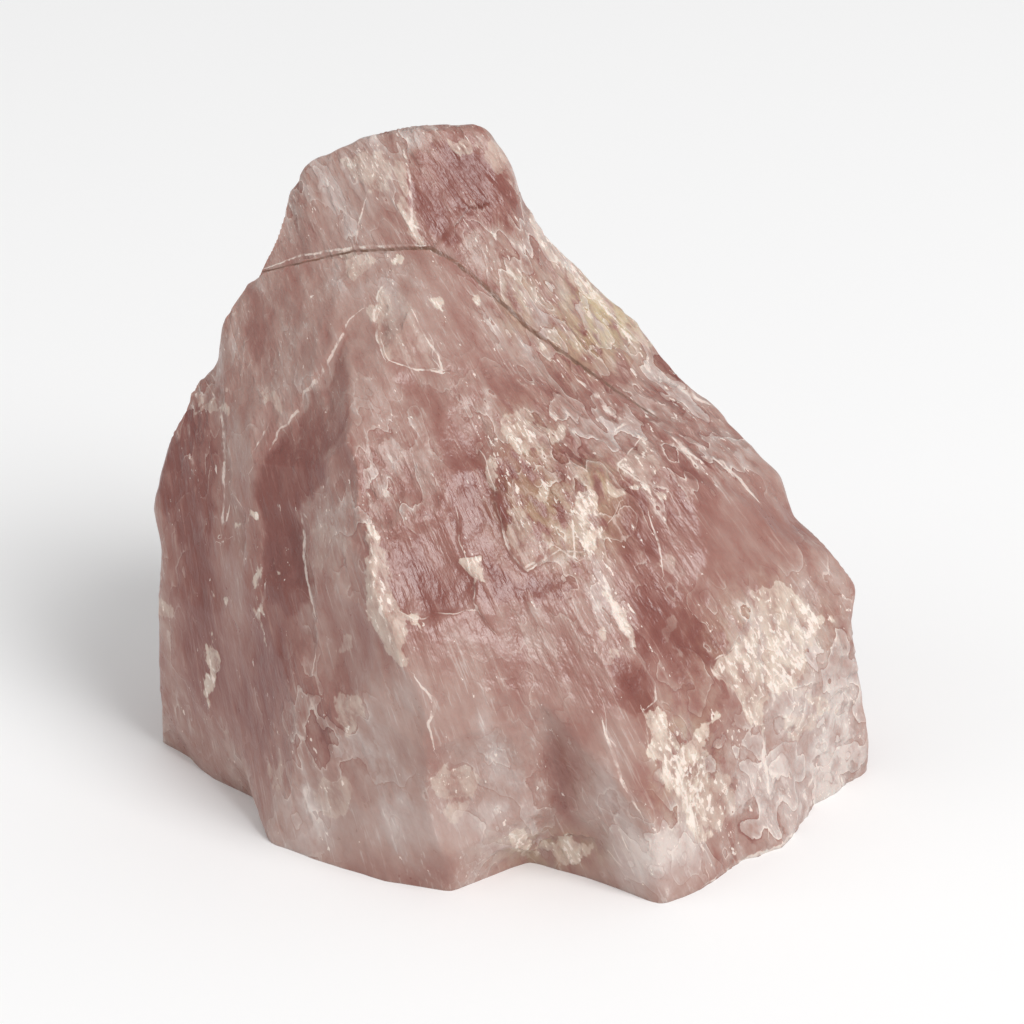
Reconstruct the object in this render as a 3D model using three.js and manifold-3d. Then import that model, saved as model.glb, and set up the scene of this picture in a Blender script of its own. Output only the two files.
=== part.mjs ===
// A rough chunk of rose quartz, broken from a larger mass and left as it broke.
// It is one piece of stone, 131 mm across, 103 mm deep and 114 mm high, resting on one flat break.
// +Z is up, and the origin is at the middle of the base.
//
// The form is laid out as somebody looking at the stone sees it, with the eye LOOK_DOWN degrees
// above the table and SIGHT_DISTANCE away. A corner is [across, up, towards], in millimetres from
// the middle of that view: to the right, up in the view, and towards the eye. Across and up are
// measured at the distance of the middle.
import * as THREE from "three";
import { ConvexHull } from "three/addons/math/ConvexHull.js";
import { mergeVertices } from "three/addons/utils/BufferGeometryUtils.js";
import Module from "manifold-3d";

const LOOK_DOWN = 25;
const SIGHT_DISTANCE = 690;
const VIEW_MIDDLE = [0, -1, 51.2];
const HEART = [-2, -3.5, 47]; // every ray from here leaves the stone once

// The corners of the outline, clockwise from the summit to the right foot.
const RIGHT_OUTLINE = [
  [-15.5, 72.2, 2],
  [-4.5, 71.8, 0],
  [0, 66.5, -3],
  [2.4, 58, -6],
  [8.2, 50, -9],
  [14.8, 44.2, -13],
  [22.8, 36.4, -15],
  [29, 29.2, -14],
  [35.6, 21.2, -12],
  [41.9, 14, -10],
  [48.9, 6.8, -8],
  [51.5, -0.8, -8],
  [60.2, -7.8, -6],
  [62.8, -14, -4],
  [62.3, -23, -4],
  [61.6, -33.4, -8],
  [65, -41.4, -16],
];

// The corners of the outline, from the summit down the left side.
const LEFT_OUTLINE = [
  [-27.8, 69.5, 0],
  [-37.8, 65, -4],
  [-43.4, 56.4, -8],
  [-47.6, 48, -10],
  [-48.4, 40, -6],
  [-52.8, 34.8, -6],
  [-54, 27.4, -8],
  [-59.8, 22.2, -12],
  [-63.2, 13.4, -12],
  [-65.4, 2.2, -12],
  [-64.2, -8.6, -12],
  [-64.7, -19.4, -14],
  [-64, -33.8, -22],
];

// Where the sides meet the table, as [across, up]: towards follows from lying on the table.
const FRONT_RIM = [
  [-64, -40.9],
  [-58.6, -43.8],
  [-54, -48],
  [-46, -51.4],
  [-43.8, -59.6],
  [-34.6, -63],
  [-23.2, -66.5],
  [-11, -68.4],
  [-3.8, -65.6],
  [3.4, -63.4],
  [10.8, -65.3],
  [17.8, -67.2],
  [27, -70.9],
  [34, -68],
  [41.2, -63.2],
  [49.6, -60],
  [53.2, -56],
  [56.6, -51.6],
  [65, -46.4],
];

// The lip of the long crack under the cap, from the left outline over to the right slope.
const CRACK_LIP = [
  [-45.5, 43.2, -3],
  [-38, 45.7, 2],
  [-28.6, 47.2, 7],
  [-14.6, 47.9, 9],
  [-10, 45, 10],
  [-3.8, 40, 9],
  [3.4, 33.1, 7],
  [11.5, 27.4, 6],
  [19.6, 21, 6],
  [30.4, 13.9, 5],
  [41.2, 5.8, 3],
];

// The ridge down the front, from under the dome to the base.
const MAIN_RIDGE = [
  [-29.9, 13, 31],
  [-26.3, -1.4, 36],
  [-22.7, -15.8, 40],
  [-19, -30.2, 40],
  [-14.6, -44.6, 36],
  [-11, -57, 30],
];

// The second ridge, right of the middle, down to the right toe.
const RIGHT_RIDGE = [
  [17, -19.4, 33],
  [19.6, -37.4, 34],
  [25, -55.4, 32],
];

// The ridge that parts the left flank from the front.
const LEFT_RIDGE = [
  [-52, 22, 0],
  [-49.7, 5.8, 7],
  [-50.2, -15.8, 9],
  [-48.8, -33.8, 4],
  [-49.5, -44, -5],
];

// The lie of the faces between the ridges.
const FACE_POINTS = [
  [-20, 60, 6],
  [-33, 56, 1],
  [-8, 57, 5],
  [-20, 32.8, 20],
  [-7.4, 23.8, 23],
  [-29.9, 32.8, 17],
  [-38, 32.8, 11],
  [-46, 11.2, 12],
  [-41.6, -5, 19],
  [-37, 5.8, 23],
  [-36.2, -15.8, 26],
  [-38, -37.4, 21],
  [-32.6, -51.8, 19],
  [-7.4, -19.4, 38],
  [1.6, -15.8, 35],
  [5.2, -33.8, 35],
  [8.8, -51.8, 23],
  [-5.6, 5.8, 32],
  [16, 7.6, 22],
  [16, -8.6, 29],
  [34, -8.6, 19],
  [44.8, -15.8, 13],
  [41.2, -33.8, 19],
  [52, -33.8, 9],
  [37.6, -51.8, 18],
  [50.2, -44.6, 6],
  [59.2, -23, 0],
  [32, 5.8, 14],
  [48.4, -5, 5],
];

// The back, which the view doesn't reach, as [x, y, z] above the table.
const BACK_POINTS = [
  [-16, 45, 99],
  [-33, 39, 90],
  [1, 43, 91],
  [-50, 24, 60],
  [-54, 29, 30],
  [-40, 43, 46],
  [-24, 47, 66],
  [-21, 52, 33],
  [-2, 46, 76],
  [6, 53, 48],
  [10, 51, 20],
  [22, 39, 64],
  [30, 44, 34],
  [42, 30, 46],
  [52, 26, 20],
];

const BACK_RIM = [
  [-58, 24],
  [-42, 40],
  [-16, 51],
  [14, 50],
  [40, 38],
  [58, 20],
];

// The steps where a thin slab has come away, each a line in the view as [across, up]. Walking along
// the line, the ground on the left is set back by `drop`, and it climbs again over `fade`.
const STEPS = {
  crackUnderCap: {
    drop: 2.4,
    fade: 30,
    line: [
      [-50, 40.5],
      [-45.5, 43.2],
      [-38, 45.7],
      [-28.6, 47.2],
      [-21, 47.5],
      [-14.6, 48],
      [-10, 45.3],
      [-3.8, 40.2],
      [3.4, 33.3],
      [11.5, 27.4],
      [17, 23],
      [24, 17.5],
      [32, 12],
    ],
  },
  capShard: {
    drop: 1,
    fade: 9,
    line: [
      [-10.5, 44.5],
      [-7.7, 47.5],
      [-5.6, 48.4],
      [-3.4, 50.8],
      [-1.6, 52.9],
      [0.5, 52],
    ],
  },
  capEdge: {
    drop: 1.6,
    fade: 18,
    line: [
      [-20.5, 66],
      [-18.5, 59.8],
      [-18.7, 53.5],
      [-17.8, 49.9],
      [-15, 47.6],
    ],
  },
  leafScar: {
    drop: 0.8,
    fade: 10,
    line: [
      [-24, 39],
      [-24.7, 33.7],
      [-23.6, 30],
      [-21.4, 27.4],
      [-17.3, 26],
      [-12.6, 25],
      [-13.3, 28.3],
      [-15.5, 32],
    ],
  },
  diagonalEdge: {
    drop: 1,
    fade: 14,
    line: [
      [-28, 35],
      [-32.6, 30],
      [-35.8, 24.7],
      [-39.8, 20.2],
      [-44.3, 15.7],
      [-47.5, 10],
    ],
  },
  leftFlankEdge: {
    drop: 1.8,
    fade: 13,
    line: [
      [-48.8, -12],
      [-49.7, 0.4],
      [-51.3, 5.8],
      [-51.7, 11.2],
      [-51.7, 16.6],
      [-52.4, 21],
      [-55.5, 26],
    ],
  },
  pocketEdge: {
    drop: 2.6,
    fade: 18,
    line: [
      [-36, -29],
      [-35.5, -20.3],
      [-35.8, -16.7],
      [-36.5, -12.2],
      [-37.6, -7.7],
      [-37.4, -3.2],
      [-38, 3],
    ],
  },
  middleStep: {
    drop: 1.8,
    fade: 15,
    line: [
      [-24, -16.5],
      [-18.2, -19],
      [-12.8, -18.9],
      [-10, -18.7],
      [-5.5, -17],
    ],
  },
  hollowEdge: {
    drop: 1.2,
    fade: 10,
    line: [
      [-3, -23],
      [-6.5, -15.8],
      [-7.7, -11.3],
      [-8.8, -6],
      [-10.5, 1],
    ],
  },
  shellLip: {
    drop: 1.3,
    fade: 11,
    line: [
      [19.5, 2],
      [17, -3.5],
      [12.5, -6.8],
      [8.5, -6.2],
      [5.6, -8.3],
      [2.6, -10],
      [-0.4, -7.6],
      [-1.8, -2],
      [-2.9, 4],
      [-5.6, 10.3],
      [-6.5, 15],
    ],
  },
  rightBlade: {
    drop: 1.4,
    fade: 8,
    line: [
      [16.5, -11],
      [18.7, -19.4],
      [21, -24],
      [23.2, -27],
      [25.4, -30.2],
      [26, -33.8],
      [25, -37.5],
    ],
  },
  creamPatchEdge: {
    drop: 1.9,
    fade: 20,
    line: [
      [42, -12],
      [43, -19.4],
      [40.3, -23],
      [39, -24.8],
      [36.4, -27.5],
      [38, -31],
      [40.9, -33.8],
      [43, -36],
      [46, -41.5],
    ],
  },
  lowCreamEdge: {
    drop: 1.8,
    fade: 18,
    line: [
      [23, -35.5],
      [25, -42],
      [27.2, -46.4],
      [29.5, -50],
      [32.2, -52.7],
      [33, -56.3],
      [34, -60.8],
      [34.8, -66],
    ],
  },
  longBlade: {
    drop: 0.9,
    fade: 7,
    line: [
      [15.8, -33],
      [17.8, -42],
      [19.3, -47.3],
      [21.4, -51.8],
      [24, -56],
    ],
  },
  baseNotch: {
    drop: 2,
    fade: 10,
    line: [
      [21, -65],
      [16, -60.5],
      [12.4, -58.7],
      [7, -59.4],
      [3.4, -61.4],
      [-0.2, -60.8],
      [-6, -63],
    ],
  },
  rightFootEdge: {
    drop: 1,
    fade: 10,
    line: [
      [45, -37],
      [46.6, -44.6],
      [47.5, -51.8],
      [46, -59],
    ],
  },
};
const STEP_RAMP = 0.9;
const STEP_END = 0.14; // share of a line over which its step grows from nothing
const STEP_REACH = [-26, -12]; // steps fade out this far behind the middle of the view

// The same for the back, with each line as [x, z] seen from the front, through the stone.
const BACK_STEPS = {
  slabFace: {
    drop: 3,
    fade: 26,
    line: [
      [-44, 92],
      [-30, 74],
      [-24, 62],
      [-33, 47],
      [-29, 33],
      [-37, 18],
      [-35, 4],
    ],
  },
  slabFoot: {
    drop: 2.6,
    fade: 18,
    line: [
      [-22, 24],
      [-8, 31],
      [2, 27],
      [16, 35],
      [27, 29],
      [38, 33],
      [52, 27],
    ],
  },
  highEdge: {
    drop: 2.4,
    fade: 22,
    line: [
      [40, 62],
      [28, 66],
      [17, 61],
      [7, 70],
      [5, 82],
      [-4, 90],
      [-5, 104],
    ],
  },
  lowChip: {
    drop: 1.8,
    fade: 12,
    line: [
      [8, -4],
      [12, 8],
      [20, 15],
      [29, 13],
      [36, 4],
    ],
  },
};
const BACK_STEP_REACH = [2, 18]; // they fade in over this stretch behind the middle

// The larger breaks, each a dish struck out of the rough form. `at` says where, `turn` tips the
// break to the right and up, in degrees, `depth` is how deep it bites and `hollow` its radius.
const FRONT_BREAKS = [
  { at: [-40, 30, 11], turn: [-3, 2], depth: 1, hollow: 190 },
  { at: [-43, -30, 12], turn: [-4, 0], depth: 1.1, hollow: 170 },
  { at: [-57, -12, -4], turn: [0, 0], depth: 1, hollow: 80 },
  { at: [-20, -50, 32], turn: [0, -2], depth: 1, hollow: 60 },
  { at: [-9, -6, 34], turn: [4, 4], depth: 1.3, hollow: 90 },
  { at: [22, -14, 27], turn: [3, 5], depth: 1.6, hollow: 90 },
  { at: [48, -25, 9], turn: [0, 0], depth: 1.3, hollow: 90 },
  { at: [37, -48, 19], turn: [0, 0], depth: 1.2, hollow: 60 },
  { at: [40, -3, 13], turn: [3, 4], depth: 1, hollow: 180 },
  { at: [19, 12, 17], turn: [0, 0], depth: 0.9, hollow: 80 },
];

// The breaks of the back, with `at` as [x, y, z] above the table.
const BACK_BREAKS = [
  { at: [14, 46, 62], turn: [0, 0], depth: 1.6, hollow: 100 },
  { at: [-28, 48, 22], turn: [0, -5], depth: 1.8, hollow: 260 },
  { at: [34, 42, 46], turn: [4, 5], depth: 1.8, hollow: 240 },
  { at: [46, 32, 14], turn: [0, -4], depth: 1.6, hollow: 220 },
];

const ROOT_DEPTH = 8; // the stone is shaped this far below the table, then cut flat
const ROOT_TUCK = 0.96;
const SOFTENING = 0.03; // radians over which a ridge of the rough form is rounded
const NORMAL_SPAN = 0.06; // radians
const SPLITS = 5; // rows of smaller triangles in each triangle of the rough form
const STEP_SPACING = 1.8; // along a step's line
const NEAREST = 0.018; // radians between neighbouring corners of the surface
const SIGHT_ROUNDS = 8; // tries at where the surface lies on a line of sight
const SIGHT_SLACK = 0.6; // how near to that line it has to come
const BLOCK = 400;

const sine = Math.sin(THREE.MathUtils.degToRad(LOOK_DOWN));
const cosine = Math.cos(THREE.MathUtils.degToRad(LOOK_DOWN));
const heart = new THREE.Vector3(...HEART);
const VIEW_RIGHT = new THREE.Vector3(1, 0, 0);
const VIEW_UP = new THREE.Vector3(0, sine, cosine);

// The place of a point that is seen at across and up, and lies that far towards the eye.
function place([across, up, towards]) {
  const nearer = 1 - towards / SIGHT_DISTANCE;
  const rise = up * nearer;
  return new THREE.Vector3(
    VIEW_MIDDLE[0] + across * nearer,
    VIEW_MIDDLE[1] + rise * sine - towards * cosine,
    VIEW_MIDDLE[2] + rise * cosine + towards * sine,
  );
}

// The place where the line of sight at across and up meets the table.
function placeOnTable([across, up]) {
  const steepness = sine - (up * cosine) / SIGHT_DISTANCE;
  const towards = -(VIEW_MIDDLE[2] + up * cosine) / steepness;
  return place([across, up, towards]);
}

// A rim corner and its root: the side goes on down, a little inwards.
function rimAndRoot(corner) {
  const root = new THREE.Vector3(corner.x * ROOT_TUCK, corner.y * ROOT_TUCK, -ROOT_DEPTH);
  return [corner, root];
}

function roughCorners() {
  const seen = [RIGHT_OUTLINE, LEFT_OUTLINE, CRACK_LIP, MAIN_RIDGE, RIGHT_RIDGE, LEFT_RIDGE, FACE_POINTS];
  const rim = [...FRONT_RIM.map(placeOnTable), ...BACK_RIM.map(([x, y]) => new THREE.Vector3(x, y, 0))];
  return [
    ...seen.flat().map(place),
    ...BACK_POINTS.map((p) => new THREE.Vector3(...p)),
    ...rim.flatMap(rimAndRoot),
    new THREE.Vector3(0, 0, -ROOT_DEPTH),
  ].map((p) => p.sub(heart));
}

function hullCorners(face) {
  return [face.edge.prev, face.edge, face.edge.next].map((edge) => edge.head().point);
}

// The rough form's triangles: its corners joined as the hull of their directions joins them.
function roughTriangles(corners) {
  const directions = corners.map((corner) => corner.clone().normalize());
  const cornerOf = new Map(directions.map((d, i) => [d, corners[i]]));
  const hull = new ConvexHull().setFromPoints(directions);
  return hull.faces.map((face) => hullCorners(face).map((d) => cornerOf.get(d)));
}

const triangles = roughTriangles(roughCorners());
// The matrix of each triangle, which turns a direction into its shares of the three corners.
const shareMatrices = triangles.map(([a, b, c]) =>
  new THREE.Matrix3().set(a.x, b.x, c.x, a.y, b.y, c.y, a.z, b.z, c.z).invert(),
);
const share = new THREE.Vector3();

// How far the rough form reaches in a direction.
function sharpReach(direction) {
  let best = -Infinity;
  let reach = 0;
  for (const matrix of shareMatrices) {
    share.copy(direction).applyMatrix3(matrix);
    const least = Math.min(share.x, share.y, share.z);
    if (least > best) {
      best = least;
      reach = 1 / (share.x + share.y + share.z);
    }
  }
  return reach;
}

const smoothstep = THREE.MathUtils.smoothstep;

// Directions all round one direction, at an angle to it in radians.
function around(direction, angle, count) {
  const guide = Math.abs(direction.z) < 0.9 ? new THREE.Vector3(0, 0, 1) : new THREE.Vector3(1, 0, 0);
  const a = new THREE.Vector3().crossVectors(direction, guide).normalize();
  const b = new THREE.Vector3().crossVectors(direction, a);
  return Array.from({ length: count }, (_, k) => {
    const turn = (2 * Math.PI * k) / count;
    const aside = a.clone().multiplyScalar(Math.cos(turn)).addScaledVector(b, Math.sin(turn));
    return direction.clone().addScaledVector(aside, angle).normalize();
  });
}

// The rough form with its ridges rounded: the mean of its reach here and at six places around.
function softReach(direction) {
  const near = around(direction, SOFTENING, 6);
  return [direction, ...near].reduce((sum, d) => sum + sharpReach(d), 0) / (near.length + 1);
}

function onSoftForm(direction) {
  return direction.clone().multiplyScalar(softReach(direction));
}

// The way the soft form faces in a direction, measured over a few millimetres.
function facing(direction) {
  const ring = around(direction, NORMAL_SPAN, 4).map(onSoftForm);
  const across = ring[0].clone().sub(ring[2]);
  const along = ring[1].clone().sub(ring[3]);
  const normal = across.cross(along).normalize();
  return normal.dot(direction) < 0 ? normal.negate() : normal;
}

// A break as a ball outside the stone that touches it `depth` under the surface.
function breakBall(towardsBreak, { turn, depth, hollow }) {
  const direction = towardsBreak.clone().sub(heart).normalize();
  const touch = direction.clone().multiplyScalar(softReach(direction) - depth);
  const [right, up] = turn.map((degrees) => Math.tan(THREE.MathUtils.degToRad(degrees)));
  const normal = facing(direction).addScaledVector(VIEW_RIGHT, right).addScaledVector(VIEW_UP, up).normalize();
  return { centre: touch.addScaledVector(normal, hollow), radius: hollow };
}

// How far a ray may go before it enters a ball.
function reachToBall(direction, { centre, radius }) {
  const along = direction.dot(centre);
  const inside = along * along - centre.lengthSq() + radius * radius;
  return inside > 0 && along > 0 ? along - Math.sqrt(inside) : Infinity;
}

// Where a place is seen, as across, up and towards.
function seen(point) {
  const [x, y, z] = [point.x - VIEW_MIDDLE[0], point.y - VIEW_MIDDLE[1], point.z - VIEW_MIDDLE[2]];
  const towards = z * sine - y * cosine;
  const nearer = 1 - towards / SIGHT_DISTANCE;
  return [x / nearer, (y * sine + z * cosine) / nearer, towards];
}

// How far a step's line sets back the ground that is seen at across and up.
function setBack({ drop, fade, line }, across, up) {
  let nearest = Infinity;
  let signed = 0;
  let progress = 0;
  line.slice(1).forEach(([a1, u1], i) => {
    const [a0, u0] = line[i];
    const [da, du] = [a1 - a0, u1 - u0];
    const s = THREE.MathUtils.clamp(((across - a0) * da + (up - u0) * du) / (da * da + du * du), 0, 1);
    const [ra, ru] = [across - a0 - s * da, up - u0 - s * du];
    const distance = Math.hypot(ra, ru);
    if (distance < nearest) {
      nearest = distance;
      signed = da * ru - du * ra > 0 ? distance : -distance;
      progress = (i + s) / (line.length - 1);
    }
  });
  const ends = smoothstep(Math.min(progress, 1 - progress), 0, STEP_END);
  return drop * ends * smoothstep(signed, -STEP_RAMP, STEP_RAMP) * Math.exp(-Math.max(signed, 0) / fade);
}

function totalSetBack(steps, across, up) {
  return Object.values(steps).reduce((sum, step) => sum + setBack(step, across, up), 0);
}

const balls = [
  ...FRONT_BREAKS.map((b) => breakBall(place(b.at), b)),
  ...BACK_BREAKS.map((b) => breakBall(new THREE.Vector3(...b.at), b)),
];

// How far the stone reaches in a direction: the soft form, less its breaks and steps.
function reach(direction) {
  const struck = Math.min(softReach(direction), ...balls.map((ball) => reachToBall(direction, ball)));
  const point = direction.clone().multiplyScalar(struck).add(heart);
  const [x, y, z] = point.toArray();
  const [across, up, towards] = seen(point);
  const inView = smoothstep(towards, ...STEP_REACH);
  const behind = smoothstep(y, ...BACK_STEP_REACH);
  return struck - inView * totalSetBack(STEPS, across, up) - behind * totalSetBack(BACK_STEPS, x, z);
}

// The directions that split a triangle of the rough form evenly, with those of its corners.
function splitTriangle([a, b, c]) {
  const split = [];
  for (let i = 0; i <= SPLITS; i += 1) {
    for (let j = 0; j <= SPLITS - i; j += 1) {
      const point = a.clone().multiplyScalar(i).addScaledVector(b, j).addScaledVector(c, SPLITS - i - j);
      split.push(point.normalize());
    }
  }
  return split;
}

// The direction in which the surface is seen at across and up, or none where the view passes it by.
function directionSeenAt([across, up]) {
  let towards = 0;
  let direction;
  let miss;
  for (let round = 0; round < SIGHT_ROUNDS; round += 1) {
    direction = place([across, up, towards]).sub(heart).normalize();
    const [a, u, t] = seen(direction.clone().multiplyScalar(reach(direction)).add(heart));
    miss = Math.hypot(a - across, u - up);
    towards = (towards + t) / 2;
  }
  return miss < SIGHT_SLACK ? [direction] : [];
}

// Directions close along both sides of a step's line.
function besideLine({ line }) {
  return line.slice(1).flatMap(([a1, u1], i) => {
    const [a0, u0] = line[i];
    const [da, du] = [a1 - a0, u1 - u0];
    const length = Math.hypot(da, du);
    const count = Math.ceil(length / STEP_SPACING);
    const [aside, asideUp] = [(-du / length) * STEP_RAMP, (da / length) * STEP_RAMP];
    const shares = Array.from({ length: count }, (_, k) => (k + 0.5) / count);
    const both = shares.flatMap((s) => [
      [a0 + s * da + aside, u0 + s * du + asideUp],
      [a0 + s * da - aside, u0 + s * du - asideUp],
    ]);
    return both.flatMap(directionSeenAt);
  });
}

// The given directions without any that lies closer than `gap` to an earlier one.
function spaced(directions, gap) {
  return directions.reduce((kept, d) => {
    if (kept.every((other) => other.distanceTo(d) > gap)) {
      kept.push(d);
    }
    return kept;
  }, []);
}

// The surface in the directions of every triangle and of every step, joined as their hull joins them.
function stoneGeometry() {
  const alongSteps = Object.values(STEPS).flatMap(besideLine);
  const directions = spaced([...alongSteps, ...triangles.flatMap(splitTriangle)], NEAREST);
  const hull = new ConvexHull().setFromPoints(directions);
  const index = new Map(directions.map((d, i) => [d, i]));
  const points = directions.flatMap((d) => d.clone().multiplyScalar(reach(d)).add(heart).toArray());
  return new THREE.BufferGeometry()
    .setAttribute("position", new THREE.Float32BufferAttribute(points, 3))
    .setIndex(hull.faces.flatMap((face) => hullCorners(face).map((corner) => index.get(corner))));
}

const wasm = await Module();
wasm.setup();

function solidOf(geometry) {
  return new wasm.Manifold(
    new wasm.Mesh({
      numProp: 3,
      vertProperties: geometry.getAttribute("position").array,
      triVerts: new Uint32Array(geometry.index.array),
    }),
  );
}

function geometryOf(solid) {
  const mesh = solid.getMesh();
  return new THREE.BufferGeometry()
    .setAttribute("position", new THREE.BufferAttribute(mesh.vertProperties, 3))
    .setIndex(new THREE.BufferAttribute(mesh.triVerts, 1));
}

// Everything under the table, as a block to cut away, so that the stone lies on one flat break.
function underTable() {
  const block = new THREE.BoxGeometry(BLOCK, BLOCK, BLOCK).translate(0, 0, -BLOCK / 2);
  block.deleteAttribute("normal");
  block.deleteAttribute("uv");
  return mergeVertices(block);
}

function roseQuartz() {
  const stone = solidOf(stoneGeometry()).subtract(solidOf(underTable()));
  const pink = new THREE.MeshStandardMaterial({ color: 0xb08a82, roughness: 0.45, metalness: 0 });
  const mesh = new THREE.Mesh(geometryOf(stone), pink);
  mesh.name = "rose_quartz_stone";
  return mesh;
}

const chunk = new THREE.Group();
chunk.add(roseQuartz());

export default chunk;
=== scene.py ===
import math

import bmesh
import bpy
import numpy as np
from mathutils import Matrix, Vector


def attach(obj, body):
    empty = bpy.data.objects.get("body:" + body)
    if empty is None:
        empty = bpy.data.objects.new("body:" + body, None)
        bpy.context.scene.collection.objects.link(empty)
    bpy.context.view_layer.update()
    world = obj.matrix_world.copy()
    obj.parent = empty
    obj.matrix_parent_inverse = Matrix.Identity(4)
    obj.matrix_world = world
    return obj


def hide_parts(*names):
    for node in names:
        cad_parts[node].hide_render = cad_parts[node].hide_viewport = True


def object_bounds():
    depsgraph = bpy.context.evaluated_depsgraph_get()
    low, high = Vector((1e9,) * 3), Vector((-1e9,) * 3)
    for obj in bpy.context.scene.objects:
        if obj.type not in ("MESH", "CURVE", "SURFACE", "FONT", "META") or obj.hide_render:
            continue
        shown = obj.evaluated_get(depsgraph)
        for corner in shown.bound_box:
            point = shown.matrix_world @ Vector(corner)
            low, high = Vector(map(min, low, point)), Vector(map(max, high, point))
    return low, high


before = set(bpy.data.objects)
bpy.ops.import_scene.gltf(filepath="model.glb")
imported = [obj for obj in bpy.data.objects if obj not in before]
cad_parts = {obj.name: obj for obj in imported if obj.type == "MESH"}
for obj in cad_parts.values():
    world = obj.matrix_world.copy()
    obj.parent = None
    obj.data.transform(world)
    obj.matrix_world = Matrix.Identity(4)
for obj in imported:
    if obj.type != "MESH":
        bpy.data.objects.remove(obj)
cad_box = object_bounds()

# The stone's rough form: one chunk of rose quartz, broken on every side from a larger mass. Its main
# corners are laid out as somebody looking at the front sees them, and joined by flat faces.

# The view of the front, in millimetres: its slope, how far the eye is and the middle of what it
# sees. HEART is the place inside the stone that every reach is measured from.
LOOK_DOWN = math.radians(25)
SIGHT_DISTANCE = 690
VIEW_MIDDLE = np.array((0, -1, 51.2))
HEART = np.array((-2, -3.5, 47))
SINE = math.sin(LOOK_DOWN)
COSINE = math.cos(LOOK_DOWN)
VIEW_RIGHT = np.array((1, 0, 0))
VIEW_UP = np.array((0, SINE, COSINE))
TO_EYE = np.array((0, -COSINE, SINE))

# Each corner is [across, up, towards] in millimetres: to the right, up in the view and towards the
# eye, from the middle of the view.
RIGHT_OUTLINE = [
    (-15.5, 72.2, 2), (-4.5, 71.8, 0), (0, 66.5, -3), (2.4, 58, -6), (8.2, 50, -9), (14.8, 44.2, -13),
    (22.8, 36.4, -15), (29, 29.2, -14), (35.6, 21.2, -12), (41.9, 14, -10), (48.9, 6.8, -8),
    (51.5, -0.8, -8), (60.2, -7.8, -6), (62.8, -14, -4), (62.3, -23, -4), (61.6, -33.4, -8),
    (65, -41.4, -16),
]
LEFT_OUTLINE = [
    (-27.8, 69.5, 0), (-37.8, 65, -4), (-43.4, 56.4, -8), (-47.6, 48, -10), (-48.4, 40, -6),
    (-52.8, 34.8, -6), (-54, 27.4, -8), (-59.8, 22.2, -12), (-63.2, 13.4, -12), (-65.4, 2.2, -12),
    (-64.2, -8.6, -12), (-64.7, -19.4, -14), (-64, -33.8, -22),
]
CRACK_LIP = [
    (-45.5, 43.2, -3), (-38, 45.7, 2), (-28.6, 47.2, 7), (-14.6, 47.9, 9), (-10, 45, 10), (-3.8, 40, 9),
    (3.4, 33.1, 7), (11.5, 27.4, 6), (19.6, 21, 6), (30.4, 13.9, 5), (41.2, 5.8, 3),
]
MAIN_RIDGE = [
    (-29.9, 13, 31), (-26.3, -1.4, 36), (-22.7, -15.8, 40), (-19, -30.2, 40), (-14.6, -44.6, 36),
    (-11, -57, 30),
]
RIGHT_RIDGE = [(17, -19.4, 33), (19.6, -37.4, 34), (25, -55.4, 32)]
LEFT_RIDGE = [(-52, 22, 0), (-49.7, 5.8, 7), (-50.2, -15.8, 9), (-48.8, -33.8, 4), (-49.5, -44, -5)]
FACE_POINTS = [
    (-20, 60, 6), (-33, 56, 1), (-8, 57, 5), (-20, 32.8, 20), (-7.4, 23.8, 23), (-29.9, 32.8, 17),
    (-38, 32.8, 11), (-46, 11.2, 12), (-41.6, -5, 19), (-37, 5.8, 23), (-36.2, -15.8, 26),
    (-38, -37.4, 21), (-32.6, -51.8, 19), (-7.4, -19.4, 38), (1.6, -15.8, 35), (5.2, -33.8, 35),
    (8.8, -51.8, 23), (-5.6, 5.8, 32), (16, 7.6, 22), (16, -8.6, 29), (34, -8.6, 19), (44.8, -15.8, 13),
    (41.2, -33.8, 19), (52, -33.8, 9), (37.6, -51.8, 18), (50.2, -44.6, 6), (59.2, -23, 0),
    (32, 5.8, 14), (48.4, -5, 5),
]
# Where the sides meet the table in the view, as [across, up].
FRONT_RIM = [
    (-64, -40.9), (-58.6, -43.8), (-54, -48), (-46, -51.4), (-43.8, -59.6), (-34.6, -63), (-23.2, -66.5),
    (-11, -68.4), (-3.8, -65.6), (3.4, -63.4), (10.8, -65.3), (17.8, -67.2), (27, -70.9), (34, -68),
    (41.2, -63.2), (49.6, -60), (53.2, -56), (56.6, -51.6), (65, -46.4),
]
# The back and its rim, as x, y and z above the table.
BACK_POINTS = [
    (-16, 45, 99), (-33, 39, 90), (1, 43, 91), (-50, 24, 60), (-54, 29, 30), (-40, 43, 46),
    (-24, 47, 66), (-21, 52, 33), (-2, 46, 76), (6, 53, 48), (10, 51, 20), (22, 39, 64), (30, 44, 34),
    (42, 30, 46), (52, 26, 20),
]
BACK_RIM = [(-58, 24), (-42, 40), (-16, 51), (14, 50), (40, 38), (58, 20)]
# Below the table the form goes on to a narrower root, which is left out of the surface.
ROOT_DEPTH = 8
ROOT_TUCK = 0.96
# Ridges are rounded over this angle, in radians, by a ring of so many directions.
SOFTENING = 0.02
RING = 6
NEARLY_UPRIGHT = 0.9
# So many directions are worked out at once, to spare memory.
TAKEN_AT_ONCE = 20000


def place(spots):
    """Points in space: each spot's across and up shrink as it comes nearer to the eye, and the view's
    own directions carry them, with towards along the line of sight."""
    across, up, towards = np.asarray(spots, float).T
    nearer = 1 - towards / SIGHT_DISTANCE
    steps = (across * nearer)[:, None] * VIEW_RIGHT + (up * nearer)[:, None] * VIEW_UP
    return VIEW_MIDDLE + steps + towards[:, None] * TO_EYE


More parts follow.
